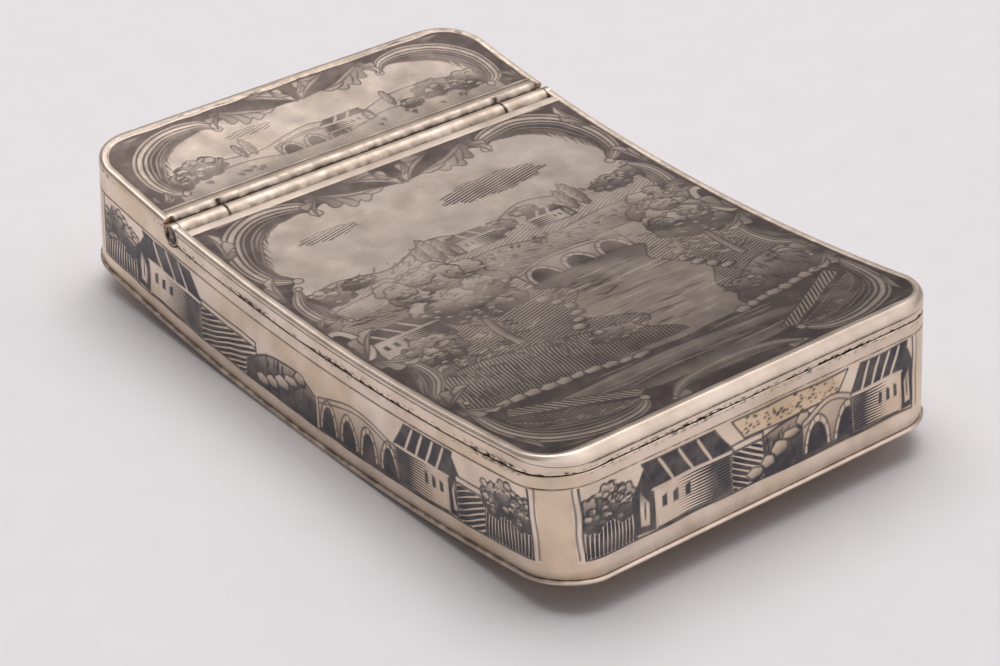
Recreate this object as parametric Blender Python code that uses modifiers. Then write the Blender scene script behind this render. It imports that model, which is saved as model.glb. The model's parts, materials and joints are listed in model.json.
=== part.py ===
"""Curved snuff box: a shallow silver box with a fixed rear deck and a hinged lid.

The whole box is bent along its length to lie against the body: the top is hollow and the base is
full. Pieces are first made flat, with x across the box, s along it and h up from the base, and are
then bent round the box's curve. s and h become Y and Z. The lid swings on a flush three-knuckle
tube hinge that lies in a trough across the box.

Frame: origin at the middle of the base where it touches the table, +Z up, +Y towards the rear
deck, -Y towards the lid's free edge. All sizes are in metres.
"""

import math

import bmesh
import bpy
from mathutils import Matrix, Vector

# Driving sizes of the whole box
BOX_LENGTH = 0.0860            # along the curve of the top
BOX_WIDTH = 0.0556
BOX_DEPTH = 0.01486            # from the base to the flat of the top
BEND_RADIUS = 0.2670           # of the base's curve
CORNER_RADIUS = 0.0059         # plan corners of the wall
WALL_LEAN = 0.0006             # how far the wall leans in at the base
SEAM = 0.0003                  # gap between neighbouring pieces

# Body
WALL_THICKNESS = 0.0008
BASE_THICKNESS = 0.00075
BASE_LIP = 0.00025             # how far the base stands out under the wall
BEZEL_THICKNESS = 0.0005
BEZEL_DEPTH = 0.0050           # height of the flange inside the wall
BEZEL_RISE = 0.0010            # how far the flange stands above the wall's rim

# Top plates and their mouldings
PLATE_THICKNESS = 0.0007
MOULDING_WIDTH = 0.0012
MOULDING_HEIGHT = 0.0006
MOULDING_CROWN = 0.00014       # how far the moulding stands above the plates
SPRING_SHARE = 0.45            # upright part of a moulding's or rib's side, as a share of its height
SKIRT_HEIGHT = 0.00125
SKIRT_THICKNESS = 0.0007

# Hinge
HINGE_FROM_REAR = 0.0190       # tube's axis to the rear end, along the curve
TUBE_RADIUS = 0.00130
TUBE_SINK = 0.00126            # tube's axis below the flat of the top
BORE_RADIUS = 0.00075
PIN_RADIUS = 0.00045
KNUCKLE_SPLIT = 0.0203         # from the box's middle to the breaks in the tube
TROUGH_THICKNESS = 0.0006
TROUGH_REAR_ANGLE = 5.0        # degrees round the tube from level behind it, upwards
TROUGH_FRONT_ANGLE = -150.0
PLUG_INSET = 0.00005           # plug's face behind the wall's face
STRIP_WIDTH = 0.0018           # plain strip between the tube and the lid's plate
LIP_THICKNESS = 0.0006
LIP_ANGLE = 195.0              # the strip's hollow lip ends here, in degrees round the tube
RIB_WIDTH = 0.0012
RIB_CROWN = 0.0005             # how far the rib stands above the deck
DECK_SETBACK = 0.00045         # deck's front edge behind the tube

# Fineness of the round forms
CORNER_STEPS = 8
ROUNDING_STEPS = 2
CROWN_STEPS = 8
TUBE_STEPS = 28
TROUGH_STEPS = 18
LIP_STEPS = 12
STATION_PITCH = 0.0040         # spacing of the cuts that let a flat piece follow the curve
SMOOTH_ANGLE = 35.0            # edges sharper than this stay crisp, in degrees
MERGE = 1e-6                   # points closer than this are one
FLAT_ANGLE = 1e-3              # faces that meet flatter than this, in radians, are one

# Heights and stations that follow from the sizes
TOP_RADIUS = BEND_RADIUS - BOX_DEPTH
RESTING_TURN = STATION_PITCH / 2 / TOP_RADIUS   # the flat strip that the base stands on ends here
HALF_LENGTH = BOX_LENGTH / 2
HALF_WIDTH = BOX_WIDTH / 2
MOULDING_TOP = BOX_DEPTH + MOULDING_CROWN
MOULDING_FOOT = MOULDING_TOP - MOULDING_HEIGHT
SKIRT_TOP = MOULDING_FOOT - SEAM
SKIRT_FOOT = SKIRT_TOP - SKIRT_HEIGHT
RIM_HEIGHT = SKIRT_FOOT - SEAM
WALL_FOOT = BASE_THICKNESS + SEAM
PLATE_INSET = MOULDING_WIDTH + SEAM
PLATE_FOOT = BOX_DEPTH - PLATE_THICKNESS
HINGE_S = HALF_LENGTH - HINGE_FROM_REAR
HINGE_H = BOX_DEPTH - TUBE_SINK
TUBE_CLEAR = TUBE_RADIUS + SEAM
DECK_FRONT = HINGE_S + TUBE_RADIUS + DECK_SETBACK
STRIP_FRONT = HINGE_S - TUBE_CLEAR - STRIP_WIDTH
TUBE_NOTCH = math.sqrt(max(0.0, TUBE_CLEAR ** 2 - (MOULDING_TOP - HINGE_H) ** 2))
LID_REAR = HINGE_S - TUBE_NOTCH                 # the lid's edge ends where the tube's room meets the top
TUBE_HALF = HALF_WIDTH - WALL_THICKNESS - SEAM
STRIP_HALF = HALF_WIDTH - MOULDING_WIDTH - SEAM


def collection(name):
    """A collection in the scene."""
    made = bpy.data.collections.new(name)
    bpy.context.scene.collection.children.link(made)
    return made


def silver(name, colour, roughness):
    """A metal for one piece."""
    material = bpy.data.materials.new(name)
    material.use_nodes = True
    shader = material.node_tree.nodes["Principled BSDF"]
    shader.inputs["Base Color"].default_value = (*colour, 1.0)
    shader.inputs["Metallic"].default_value = 1.0
    shader.inputs["Roughness"].default_value = roughness
    return material


def bent(x, s, h):
    """Place in the finished box of a point of the flat layout."""
    lean = WALL_LEAN * (1 - h / BOX_DEPTH)
    x = x * (1 - lean / HALF_WIDTH)
    s = s * (1 - lean / HALF_LENGTH)
    turn = s / TOP_RADIUS
    reach = BEND_RADIUS - h
    return Vector((x, reach * math.sin(turn), BEND_RADIUS * math.cos(RESTING_TURN) - reach * math.cos(turn)))


def arc(centre_x, centre_s, radius, start, end):
    """Points of a round corner, from one angle to another in degrees."""
    points = []
    for step in range(CORNER_STEPS + 1):
        angle = math.radians(start + (end - start) * step / CORNER_STEPS)
        points.append((centre_x + radius * math.cos(angle), centre_s + radius * math.sin(angle)))
    return points


def round_end(inset, toward):
    """Outline of one end of the box, right to left, set in from the wall's face."""
    radius = CORNER_RADIUS - inset
    x = HALF_WIDTH - inset - radius
    s = toward * (HALF_LENGTH - inset - radius)
    right = arc(x, s, radius, 0, 90 * toward)
    left = arc(-x, s, radius, 90 * toward, 180 * toward)
    return right + left


def whole_outline(inset):
    """The box's closed outline."""
    return round_end(inset, 1) + round_end(inset, -1)[::-1]


def open_outline(inset, toward, station):
    """One end of the box and its straight sides, open at a station along the box."""
    side = HALF_WIDTH - inset
    return [(side, station)] + round_end(inset, toward) + [(-side, station)]


def curve_object(name, outlines, cyclic):
    """A flat curve in the layout plane."""
    curve = bpy.data.curves.new(name, "CURVE")
    curve.dimensions = "2D"
    curve.fill_mode = "BOTH" if cyclic else "NONE"
    for outline in outlines:
        spline = curve.splines.new("POLY")
        spline.points.add(len(outline) - 1)
        for point, (x, s) in zip(spline.points, outline):
            point.co = (x, s, 0.0, 1.0)
        spline.use_cyclic_u = cyclic
    made = bpy.data.objects.new(name, curve)
    CUTTERS.objects.link(made)
    return made


def mesh_of(source):
    """A closed mesh object made from a curve or from an object with modifiers."""
    bpy.context.view_layer.update()
    seen = source.evaluated_get(bpy.context.evaluated_depsgraph_get())
    mesh = bpy.data.meshes.new_from_object(seen)
    mesh.transform(source.matrix_world)
    name = source.name
    bpy.data.objects.remove(source)
    shape = bmesh.new()
    shape.from_mesh(mesh)
    bmesh.ops.remove_doubles(shape, verts=shape.verts, dist=MERGE)
    bmesh.ops.dissolve_limit(shape, angle_limit=FLAT_ANGLE, verts=shape.verts, edges=shape.edges)
    bmesh.ops.recalc_face_normals(shape, faces=shape.faces)
    shape.to_mesh(mesh)
    shape.free()
    made = bpy.data.objects.new(name, mesh)
    CUTTERS.objects.link(made)
    return made


def flat_plate(name, outlines, low, high, rounding=0.0):
    """A flat sheet between two heights, with its rims rounded where asked."""
    sheet = curve_object(name, outlines, True)
    sheet.data.extrude = (high - low) / 2 - rounding
    sheet.data.bevel_depth = rounding
    sheet.data.bevel_resolution = ROUNDING_STEPS if rounding else 0
    sheet.data.offset = -rounding
    sheet.location.z = (low + high) / 2
    return mesh_of(sheet)


def flat_band(name, toward, station, outer, inner, low, high):
    """An upright band round one end of the box, open at a station."""
    outline = open_outline(outer, toward, station) + open_outline(inner, toward, station)[::-1]
    return flat_plate(name, [outline], low, high)


def half_round(width, height):
    """Section of a moulding or rib: a flat foot, short upright sides and a round crown."""
    section = [(0.0, 0.0)]
    for step in range(CROWN_STEPS + 1):
        angle = math.pi * step / CROWN_STEPS
        across = width * (1 - math.cos(angle)) / 2
        section.append((across, height * (SPRING_SHARE + (1 - SPRING_SHARE) * math.sin(angle))))
    section.append((width, 0.0))
    return section


def flat_moulding(name, toward, station, width, foot, height):
    """A half-round moulding swept round one end of the box, open at a station."""
    section = curve_object(name + "_section", [half_round(width, height)], True)
    section.data.fill_mode = "NONE"
    route = open_outline(0.0, toward, station)
    if toward > 0:
        route.reverse()  # the section stays on the box's inner side of the route
    path = curve_object(name, [route], False)
    path.data.bevel_mode = "OBJECT"
    path.data.bevel_object = section
    path.data.use_fill_caps = True
    path.location.z = foot
    made = mesh_of(path)
    bpy.data.objects.remove(section)
    return made


def tube_cutter():
    """Room for the hinge tube, in the flat layout."""
    bpy.ops.mesh.primitive_cylinder_add(vertices=2 * TUBE_STEPS, radius=TUBE_CLEAR, depth=2 * BOX_WIDTH,
                                        location=(0, HINGE_S, HINGE_H), rotation=(0, math.pi / 2, 0))
    return as_cutter(bpy.context.object, "tube_room")


def lid_cutter():
    """Room for the lid above the wall's rim, in the flat layout."""
    length = HINGE_S + BOX_LENGTH
    height = BOX_DEPTH
    centre = (0, HINGE_S - length / 2, RIM_HEIGHT + height / 2)
    bpy.ops.mesh.primitive_cube_add(size=1, location=centre)
    block = bpy.context.object
    block.scale = (2 * BOX_WIDTH, length, height)
    return as_cutter(block, "lid_room")


def as_cutter(made, name):
    """Keeps an object as a cutter only."""
    made.name = name
    made.hide_render = True
    made.display_type = "WIRE"
    for holder in made.users_collection:
        holder.objects.unlink(made)
    CUTTERS.objects.link(made)
    return made


def cut(piece, cutters):
    """The piece with the cutters taken away."""
    for cutter in cutters:
        modifier = piece.modifiers.new(cutter.name, "BOOLEAN")
        modifier.operation = "DIFFERENCE"
        modifier.solver = "EXACT"
        modifier.object = cutter
    return mesh_of(piece)


def stations():
    """Places along the box where flat pieces are cut so that they can bend."""
    count = math.ceil(HALF_LENGTH / STATION_PITCH) + 1
    ahead = [(step + 0.5) * STATION_PITCH for step in range(count)]
    return [-s for s in reversed(ahead)] + ahead


def bend(piece):
    """Cuts a flat piece at the stations and lays it round the box's curve."""
    shape = bmesh.new()
    shape.from_mesh(piece.data)
    for station in stations():
        everything = shape.verts[:] + shape.edges[:] + shape.faces[:]
        bmesh.ops.bisect_plane(shape, geom=everything, dist=MERGE / 10, plane_co=(0, station, 0), plane_no=(0, 1, 0))
    for vertex in shape.verts:
        vertex.co = bent(*vertex.co)
    shape.to_mesh(piece.data)
    shape.free()


def keep(piece, material, name=None, pivot=None):
    """Puts a finished piece among the box's parts."""
    for holder in piece.users_collection:
        holder.objects.unlink(piece)
    PARTS.objects.link(piece)
    if name:
        piece.name = name
    piece.data.name = piece.name
    piece.data.materials.clear()
    piece.data.materials.append(material)
    piece.data.shade_smooth()
    piece.data.set_sharp_from_angle(angle=math.radians(SMOOTH_ANGLE))
    if pivot:
        piece.data.transform(pivot.matrix_world.inverted() @ piece.matrix_world)
        piece.matrix_world = Matrix.Identity(4)
        piece.parent = pivot
    return piece


def hinge_frame():
    """Where the tube's axis lies, turned as the top is there."""
    turn = Matrix.Rotation(HINGE_S / TOP_RADIUS, 4, "X")
    return Matrix.Translation(bent(0, HINGE_S, HINGE_H)) @ turn


def along_tube(outline, half, middle=0.0):
    """A section in the hinge's own plane, drawn along the tube's axis."""
    section = curve_object("section", [outline], True)
    section.data.extrude = half
    solid = mesh_of(section)
    across = Matrix(((0, 0, 1, middle), (1, 0, 0, 0), (0, 1, 0, 0), (0, 0, 0, 1)))
    solid.data.transform(hinge_frame() @ across)
    return solid


def ring_points(radius, start, end, steps):
    """Points round the tube's axis, angles in degrees up from the rear."""
    points = []
    for step in range(steps + 1):
        angle = math.radians(start + (end - start) * step / steps)
        points.append((radius * math.cos(angle), radius * math.sin(angle)))
    return points


def knuckle(name, start, end):
    """A length of hinge tube: a turned ring section between two places across the box."""
    corners = [(BORE_RADIUS, start), (TUBE_RADIUS, start), (TUBE_RADIUS, end), (BORE_RADIUS, end)]
    mesh = bpy.data.meshes.new(name)
    edges = [(i, (i + 1) % len(corners)) for i in range(len(corners))]
    mesh.from_pydata([(radius, 0, along) for radius, along in corners], edges, [])
    tube = bpy.data.objects.new(name, mesh)
    CUTTERS.objects.link(tube)
    screw = tube.modifiers.new("turn", "SCREW")
    screw.axis = "Z"
    screw.steps = TUBE_STEPS
    screw.render_steps = TUBE_STEPS
    screw.use_merge_vertices = True
    screw.merge_threshold = MERGE
    turned = mesh_of(tube)
    turned.data.transform(hinge_frame() @ Matrix.Rotation(math.pi / 2, 4, "Y"))
    return turned


def rod(name, radius, start, end):
    """A round rod on the tube's axis between two places across the box."""
    bpy.ops.mesh.primitive_cylinder_add(vertices=TUBE_STEPS, radius=radius, depth=end - start)
    made = bpy.context.object
    made.name = name
    middle = Matrix.Translation(((start + end) / 2, 0, 0))
    made.data.transform(hinge_frame() @ middle @ Matrix.Rotation(math.pi / 2, 4, "Y"))
    return made


def make_body(notch, lid_room):
    """The wall, base, bezel, deck and everything else that stays with the body."""
    silver_wall = silver("silver_wall", (0.46, 0.38, 0.31), 0.32)
    bright = silver("silver_moulding", (0.72, 0.66, 0.58), 0.24)
    niello = silver("nielloed_silver", (0.22, 0.19, 0.17), 0.38)
    gilt = silver("gilt_inside", (0.68, 0.49, 0.24), 0.30)

    wall = flat_plate("body_wall", [whole_outline(0.0), whole_outline(WALL_THICKNESS)], WALL_FOOT, SKIRT_TOP)
    wall = cut(wall, [lid_room, notch])
    bend(wall)
    keep(wall, silver_wall)

    base = flat_plate("base_plate", [whole_outline(-BASE_LIP)], 0.0, BASE_THICKNESS, rounding=BASE_LIP)
    bend(base)
    keep(base, silver_wall)

    inset = WALL_THICKNESS + SEAM
    station = HINGE_S - TUBE_CLEAR - TROUGH_THICKNESS - SEAM
    top = RIM_HEIGHT + BEZEL_RISE
    bezel = flat_band("inner_bezel", -1, station, inset, inset + BEZEL_THICKNESS, top - BEZEL_DEPTH, top)
    bend(bezel)
    keep(bezel, gilt)

    deck_front = DECK_FRONT + RIB_WIDTH + SEAM
    deck = flat_plate("rear_deck", [open_outline(PLATE_INSET, 1, deck_front)], PLATE_FOOT, BOX_DEPTH)
    bend(deck)
    keep(deck, niello)

    edge = flat_moulding("deck_moulding", 1, DECK_FRONT, MOULDING_WIDTH, MOULDING_FOOT, MOULDING_HEIGHT)
    bend(edge)
    keep(edge, bright)

    rib_foot = PLATE_FOOT - HINGE_H
    rib_front = DECK_FRONT - HINGE_S
    rib_height = BOX_DEPTH + RIB_CROWN - PLATE_FOOT
    section = [(rib_front + along, rib_foot + up) for along, up in half_round(RIB_WIDTH, rib_height)]
    keep(along_tube(section, STRIP_HALF), bright, "deck_hinge_rib")

    outside = TUBE_CLEAR + TROUGH_THICKNESS
    inner = ring_points(TUBE_CLEAR, TROUGH_REAR_ANGLE, TROUGH_FRONT_ANGLE, TROUGH_STEPS)
    outer = ring_points(outside, TROUGH_FRONT_ANGLE, TROUGH_REAR_ANGLE, TROUGH_STEPS)
    keep(along_tube(inner + outer, TUBE_HALF), gilt, "hinge_trough")


def make_hinge(pivot):
    """The three tubes, their pin and the plugs in the side walls."""
    bright = silver("silver_tube", (0.74, 0.69, 0.61), 0.20)
    steel = silver("pin_wire", (0.42, 0.40, 0.38), 0.40)
    plug = silver("silver_plug", (0.30, 0.26, 0.23), 0.45)
    half_break = SEAM / 2
    keep(knuckle("knuckle_left", -TUBE_HALF, -KNUCKLE_SPLIT - half_break), bright)
    keep(knuckle("knuckle_right", KNUCKLE_SPLIT + half_break, TUBE_HALF), bright)
    keep(knuckle("knuckle_centre", -KNUCKLE_SPLIT + half_break, KNUCKLE_SPLIT - half_break), bright, pivot=pivot)
    keep(rod("hinge_pin", PIN_RADIUS, -TUBE_HALF, TUBE_HALF), steel)
    inner = TUBE_HALF + SEAM
    face = HALF_WIDTH - PLUG_INSET
    keep(rod("hinge_plug_left", TUBE_RADIUS, -face, -inner), plug)
    keep(rod("hinge_plug_right", TUBE_RADIUS, inner, face), plug)


def make_lid(notch, pivot):
    """The plate, moulding, skirt and hinge strip that swing together."""
    niello = silver("nielloed_lid", (0.20, 0.17, 0.16), 0.36)
    bright = silver("silver_lid_moulding", (0.74, 0.68, 0.60), 0.22)
    plain = silver("silver_skirt", (0.50, 0.43, 0.36), 0.30)

    plate = flat_plate("lid_plate", [open_outline(PLATE_INSET, -1, STRIP_FRONT - SEAM)], PLATE_FOOT, BOX_DEPTH)
    bend(plate)
    keep(plate, niello, pivot=pivot)

    edge = flat_moulding("lid_moulding", -1, LID_REAR, MOULDING_WIDTH, MOULDING_FOOT, MOULDING_HEIGHT)
    edge = cut(edge, [notch])
    bend(edge)
    keep(edge, bright, pivot=pivot)

    skirt = flat_band("lid_skirt", -1, LID_REAR, 0.0, SKIRT_THICKNESS, SKIRT_FOOT, SKIRT_TOP)
    skirt = cut(skirt, [notch])
    bend(skirt)
    keep(skirt, plain, pivot=pivot)

    outside = TUBE_CLEAR + LIP_THICKNESS
    top = BOX_DEPTH - HINGE_H
    foot = PLATE_FOOT - HINGE_H
    front = STRIP_FRONT - HINGE_S
    top_angle = 180 - math.degrees(math.asin(top / TUBE_CLEAR))
    foot_angle = 180 - math.degrees(math.asin(foot / outside))
    hollow = ring_points(TUBE_CLEAR, top_angle, LIP_ANGLE, LIP_STEPS)
    back = ring_points(outside, LIP_ANGLE, foot_angle, LIP_STEPS)
    strip = along_tube(hollow + back + [(front, foot), (front, top)], STRIP_HALF)
    keep(strip, plain, "lid_hinge_strip", pivot=pivot)


def main():
    """Makes the whole box."""
    notch = tube_cutter()
    lid_room = lid_cutter()
    pivot = bpy.data.objects.new("lid_pivot", None)
    pivot.empty_display_size = TUBE_RADIUS
    pivot.location = hinge_frame().translation
    PARTS.objects.link(pivot)
    bpy.context.view_layer.update()
    make_body(notch, lid_room)
    make_hinge(pivot)
    make_lid(notch, pivot)


for old in list(bpy.data.objects):
    bpy.data.objects.remove(old)
PARTS = collection("snuff_box")
CUTTERS = collection("cutters")
main()
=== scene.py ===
import json
import math

import bpy
import numpy as np
from bpy.props import FloatProperty, FloatVectorProperty, PointerProperty
from mathutils import Matrix, Vector


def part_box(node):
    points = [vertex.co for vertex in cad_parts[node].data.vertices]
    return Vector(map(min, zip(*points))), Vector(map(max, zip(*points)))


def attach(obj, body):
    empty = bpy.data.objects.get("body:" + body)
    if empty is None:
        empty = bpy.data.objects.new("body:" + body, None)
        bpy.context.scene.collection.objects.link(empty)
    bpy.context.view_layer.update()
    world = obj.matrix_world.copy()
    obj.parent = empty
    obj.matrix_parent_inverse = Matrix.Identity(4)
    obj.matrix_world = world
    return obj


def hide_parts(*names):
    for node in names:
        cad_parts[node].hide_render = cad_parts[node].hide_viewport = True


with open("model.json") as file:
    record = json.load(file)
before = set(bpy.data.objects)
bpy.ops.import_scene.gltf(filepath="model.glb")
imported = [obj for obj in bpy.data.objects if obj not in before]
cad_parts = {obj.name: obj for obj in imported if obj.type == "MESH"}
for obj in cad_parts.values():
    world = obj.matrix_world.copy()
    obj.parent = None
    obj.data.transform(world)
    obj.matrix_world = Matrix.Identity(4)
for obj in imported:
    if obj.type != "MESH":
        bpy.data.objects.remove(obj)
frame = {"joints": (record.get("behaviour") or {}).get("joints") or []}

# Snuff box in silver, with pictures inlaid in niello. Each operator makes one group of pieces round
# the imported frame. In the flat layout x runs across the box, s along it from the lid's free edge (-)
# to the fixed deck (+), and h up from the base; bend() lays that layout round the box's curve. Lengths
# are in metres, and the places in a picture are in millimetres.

bl_info = {
    "name": "Niello snuff box",
    "version": (1, 0, 0),
    "blender": (4, 5, 0),
    "location": "3D View > Sidebar > Snuff box",
    "description": "Makes the silver, niello and gilding of a bent snuff box round its packed frame",
    "category": "Object",
}

MM = 0.001
SMOOTH_ANGLE = math.radians(40)
CORNER_STEPS = 26              # steps round each plan corner
SIDE_PITCH = 0.25 * MM         # spacing of places along the straight sides
NOTCH_PITCH = 0.06 * MM        # the same beside the hinge plug
CELL = 0.125                   # spacing of a picture's grid, in mm
EDGE_SOFTNESS = 0.13           # width over which an inlaid edge fades, in mm
INLAY_DEPTH = 0.012 * MM       # niello lies this far below the silver round it
TURN_STEPS = 64                # steps round the hinge tube
# A plate's drawn field, in mm: half its width, where its round end lies and the radius of its corners
LID_FIELD = (26.85, 41.3, 3.9)
DECK_FIELD = (26.85, 41.4, 4.4)
LID_EDGE = 21.3                # where the lid's field ends beside the hinge, in mm
DECK_EDGE = 27.1               # the same for the deck's field
WALL_FIELD = (2.36, 11.04)     # foot and head of the pictures on the walls, in mm
PLATE_INSET = 0.9 * MM         # how far inside the wall's line the plates end, under the mouldings
PANEL_PROUD = 0.03 * MM        # how far the walls' pictures stand out of the walls
PANEL_DEPTH = 0.3 * MM         # how far their backs lie inside the walls' faces
GROOVE_DIRT = 0.15 * MM        # how far dirt reaches from the middle of a groove
MIRROR = np.array([-1.0, 1.0])   # turns a place or a direction on the right into its like on the left


def linear(hex_colour):
    """Linear red, green and blue of an sRGB hex colour."""
    parts = [int(hex_colour[i:i + 2], 16) / 255 for i in (1, 3, 5)]
    return tuple(c / 12.92 if c <= 0.04045 else ((c + 0.055) / 1.055) ** 2.4 for c in parts)


def metres(name, default, description):
    """A length that a user may change."""
    return FloatProperty(name=name, description=description, default=default, precision=5,
                         subtype="DISTANCE", unit="LENGTH")


def tint(name, hex_colour, description):
    """A colour that a user may change."""
    return FloatVectorProperty(name=name, description=description, default=linear(hex_colour),
                               size=3, min=0.0, max=1.0, subtype="COLOR")


class SnuffBoxShape(bpy.types.PropertyGroup):
    """Sizes of the bent box, as its solids have them."""

    length: metres("Length", 0.0860, "Length along the curve of the top")
    width: metres("Width", 0.0556, "Width across the box")
    depth: metres("Depth", 0.01486, "Base to the flat of the top")
    bend_radius: metres("Bend radius", 0.2670, "Radius of the base's curve")
    corner_radius: metres("Corner radius", 0.0059, "Radius of the plan corners")
    wall_lean: metres("Wall lean", 0.0006, "How far the wall leans in at the base")
    foot: metres("Foot", 0.0040, "Length of the flat strip that the base stands on")
    wall: metres("Wall thickness", 0.0008, "Thickness of the side wall")
    base: metres("Base thickness", 0.00075, "Thickness of the base")
    base_lip: metres("Base lip", 0.00025, "How far the base stands out under the wall")
    plate: metres("Plate thickness", 0.0007, "Thickness of the lid's and the deck's plates")
    rim: metres("Rim height", 0.01263, "Height of the wall's rim under the lid")
    seam_top: metres("Skirt foot", 0.01278, "Height of the lid's lower edge")
    groove: metres("Groove height", 0.01430, "Height of the groove under the edge moulding")
    hinge_station: metres("Hinge station", 0.0240, "Where along the box the hinge tube lies")
    hinge_height: metres("Hinge height", 0.0136, "Height of the hinge tube's axis")
    tube: metres("Tube radius", 0.0013, "Radius of the hinge tube")
    tube_notch: metres("Notch radius", 0.00142, "Radius of the wall's notch round the tube's end")
    tube_break: metres("Tube break", 0.0203, "From the middle of the box to the breaks in the tube")


class SnuffBoxFinish(bpy.types.PropertyGroup):
    """Colours and wear of the metals."""

    silver: tint("Silver", "#ebd9c9", "Clean rubbed silver")
    copper: tint("Worn silver", "#dfc7ae", "Silver rubbed down to its coppery core")
    tarnish: tint("Tarnish", "#6b6257", "Dull film in the low places")
    niello_plate: tint("Niello of the top", "#5c504e", "Niello rubbed pale by the hand")
    niello_wall: tint("Niello of the walls", "#404048", "Deeper niello of the walls")
    gilt: tint("Gilding", "#d9ab5a", "Gilt wash of the inside")
    # This dark colour marks dirt in grooves and joints. It also paints shade in the hinge's gaps, on the base
    # lip's left and right sides, in the plugs' dished faces and along the mouldings' far sides.
    grime: tint("Grime", "#1c1815", "Dirt in grooves and joints")
    silver_roughness: FloatProperty(name="Silver roughness", description="Roughness of rubbed silver",
                                    default=0.21, min=0.0, max=1.0, subtype="FACTOR")
    niello_roughness: FloatProperty(name="Niello roughness", description="Roughness of the niello",
                                    default=0.30, min=0.0, max=1.0, subtype="FACTOR")


class SnuffBoxStudio(bpy.types.PropertyGroup):
    """Table, lights and camera."""

    floor: tint("Table", "#eeebed", "Pale paper that the box stands on")
    sky: FloatProperty(name="Sky strength", description="Strength of the even light all round",
                       default=0.48, min=0.0)
    key: FloatProperty(name="Key lamp", description="Power of the large soft lamp above, in watts",
                       default=15.5, min=0.0)


def shape():
    """The box's sizes."""
    return bpy.context.scene.snuff_box_shape


def finish():
    """The box's colours."""
    return bpy.context.scene.snuff_box_finish


def bend(x, s, h):
    """Flat layout to the finished box: a point turns by s over the top's radius, bend_radius - h out."""
    box = shape()
    top_radius = box.bend_radius - box.depth
    lean = box.wall_lean * (1 - h / box.depth)
    across = x * (1 - lean / (box.width / 2))
    turn = s * (1 - lean / (box.length / 2)) / top_radius
    reach = box.bend_radius - h
    across, turn, reach = np.broadcast_arrays(across, turn, reach)
    rise = box.bend_radius * math.cos(box.foot / 2 / top_radius)
    return np.stack([across, reach * np.sin(turn), rise - reach * np.cos(turn)], axis=-1)


def side_stations(start, end):
    """Places along a straight side, closer together beside the hinge plug."""
    box = shape()
    count = max(2, int(abs(end - start) / SIDE_PITCH))
    notch = np.arange(-1.6 * MM, 1.6 * MM, NOTCH_PITCH) + box.hinge_station
    low, high = min(start, end), max(start, end)
    places = np.concatenate([np.linspace(low, high, count), notch[(notch > low) & (notch < high)]])
    places = np.unique(np.round(places, 7))
    return places if end > start else places[::-1]


def round_end(toward):
    """One end of the box from its right to its left corner: places (x, s) and outward normals."""
    box = shape()
    centre = np.array([box.width, box.length]) / 2 - box.corner_radius
    angle = np.linspace(0, math.pi / 2, CORNER_STEPS)
    across = np.linspace(centre[0], -centre[0], 2 * int(centre[0] / SIDE_PITCH))[1:-1]
    corner_normal = np.stack([np.cos(angle), np.sin(angle)], 1)
    corner = centre + box.corner_radius * corner_normal
    straight = np.stack([across, np.full_like(across, box.length / 2)], 1)
    straight_normal = np.tile([0.0, 1.0], (len(across), 1))
    places = np.concatenate([corner, straight, corner[::-1] * MIRROR])
    normals = np.concatenate([corner_normal, straight_normal, corner_normal[::-1] * MIRROR])
    flip = np.array([1.0, float(toward)])
    return places * flip, normals * flip


def sides(start, end):
    """The right-hand straight side between two stations."""
    stations = side_stations(start, end)
    places = np.stack([np.full_like(stations, shape().width / 2), stations], 1)
    normals = np.tile([1.0, 0.0], (len(stations), 1))
    return places, normals


def open_route(toward, station):
    """Right side, end and left side of one end of the box, open at a station."""
    box = shape()
    corner = toward * (box.length / 2 - box.corner_radius)
    right, right_normal = sides(station, corner)
    end, end_normal = round_end(toward)
    places = np.concatenate([right[:-1], end, right[:-1][::-1] * MIRROR])
    normals = np.concatenate([right_normal[:-1], end_normal, right_normal[:-1][::-1] * MIRROR])
    return places, normals


def closed_route():
    """The whole way round, begun in the middle of the front end so that point i mirrors point -1 - i."""
    corner = shape().length / 2 - shape().corner_radius

    def ring(front, right, rear):
        """One loop out of the two ends and the right side."""
        half = len(front) // 2
        side = right[1:-1]
        return np.concatenate([front[:half][::-1], side, rear, side[::-1] * MIRROR, front[half:][::-1]])

    places, normals = zip(round_end(-1), sides(-corner, corner), round_end(1))
    return ring(*places), ring(*normals)


def sweep(route, inset, height, station=None):
    """Section carried along a route: each route point less inset times its normal, at height.

    inset and height are one row for all points, or a row for each. station, where given, moves the
    open ends of the straight sides to a place of their own at each row of the section.
    """
    places, normals = route
    inset, height = np.broadcast_arrays(np.atleast_2d(inset), np.atleast_2d(height))
    x = places[:, :1] - normals[:, :1] * inset
    s = places[:, 1:] - normals[:, 1:] * inset
    if station is not None:
        start = places[0, 1]
        corner = math.copysign(shape().length / 2 - shape().corner_radius, places[len(places) // 2, 1])
        share = np.clip((corner - places[:, 1:]) / (corner - start), 0, 1)
        s = s + (np.atleast_2d(station) - start) * share
    return bend(x, s, height)


def grid_faces(ids):
    """Quads of a grid of point numbers."""
    return np.stack([ids[:-1, :-1], ids[1:, :-1], ids[1:, 1:], ids[:-1, 1:]], -1).reshape(-1, 4).tolist()


def volume(mesh):
    """Signed volume inside a mesh: the sum of its triangles' cones to the origin."""
    mesh.calc_loop_triangles()
    corners = np.zeros(len(mesh.loop_triangles) * 3, np.int32)
    mesh.loop_triangles.foreach_get("vertices", corners)
    points = np.zeros(len(mesh.vertices) * 3, np.float32)
    mesh.vertices.foreach_get("co", points)
    a, b, c = points.reshape(-1, 3)[corners.reshape(-1, 3)].astype(float).transpose(1, 0, 2)
    return float(np.einsum("ij,ij->", a, np.cross(b, c))) / 6


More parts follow.
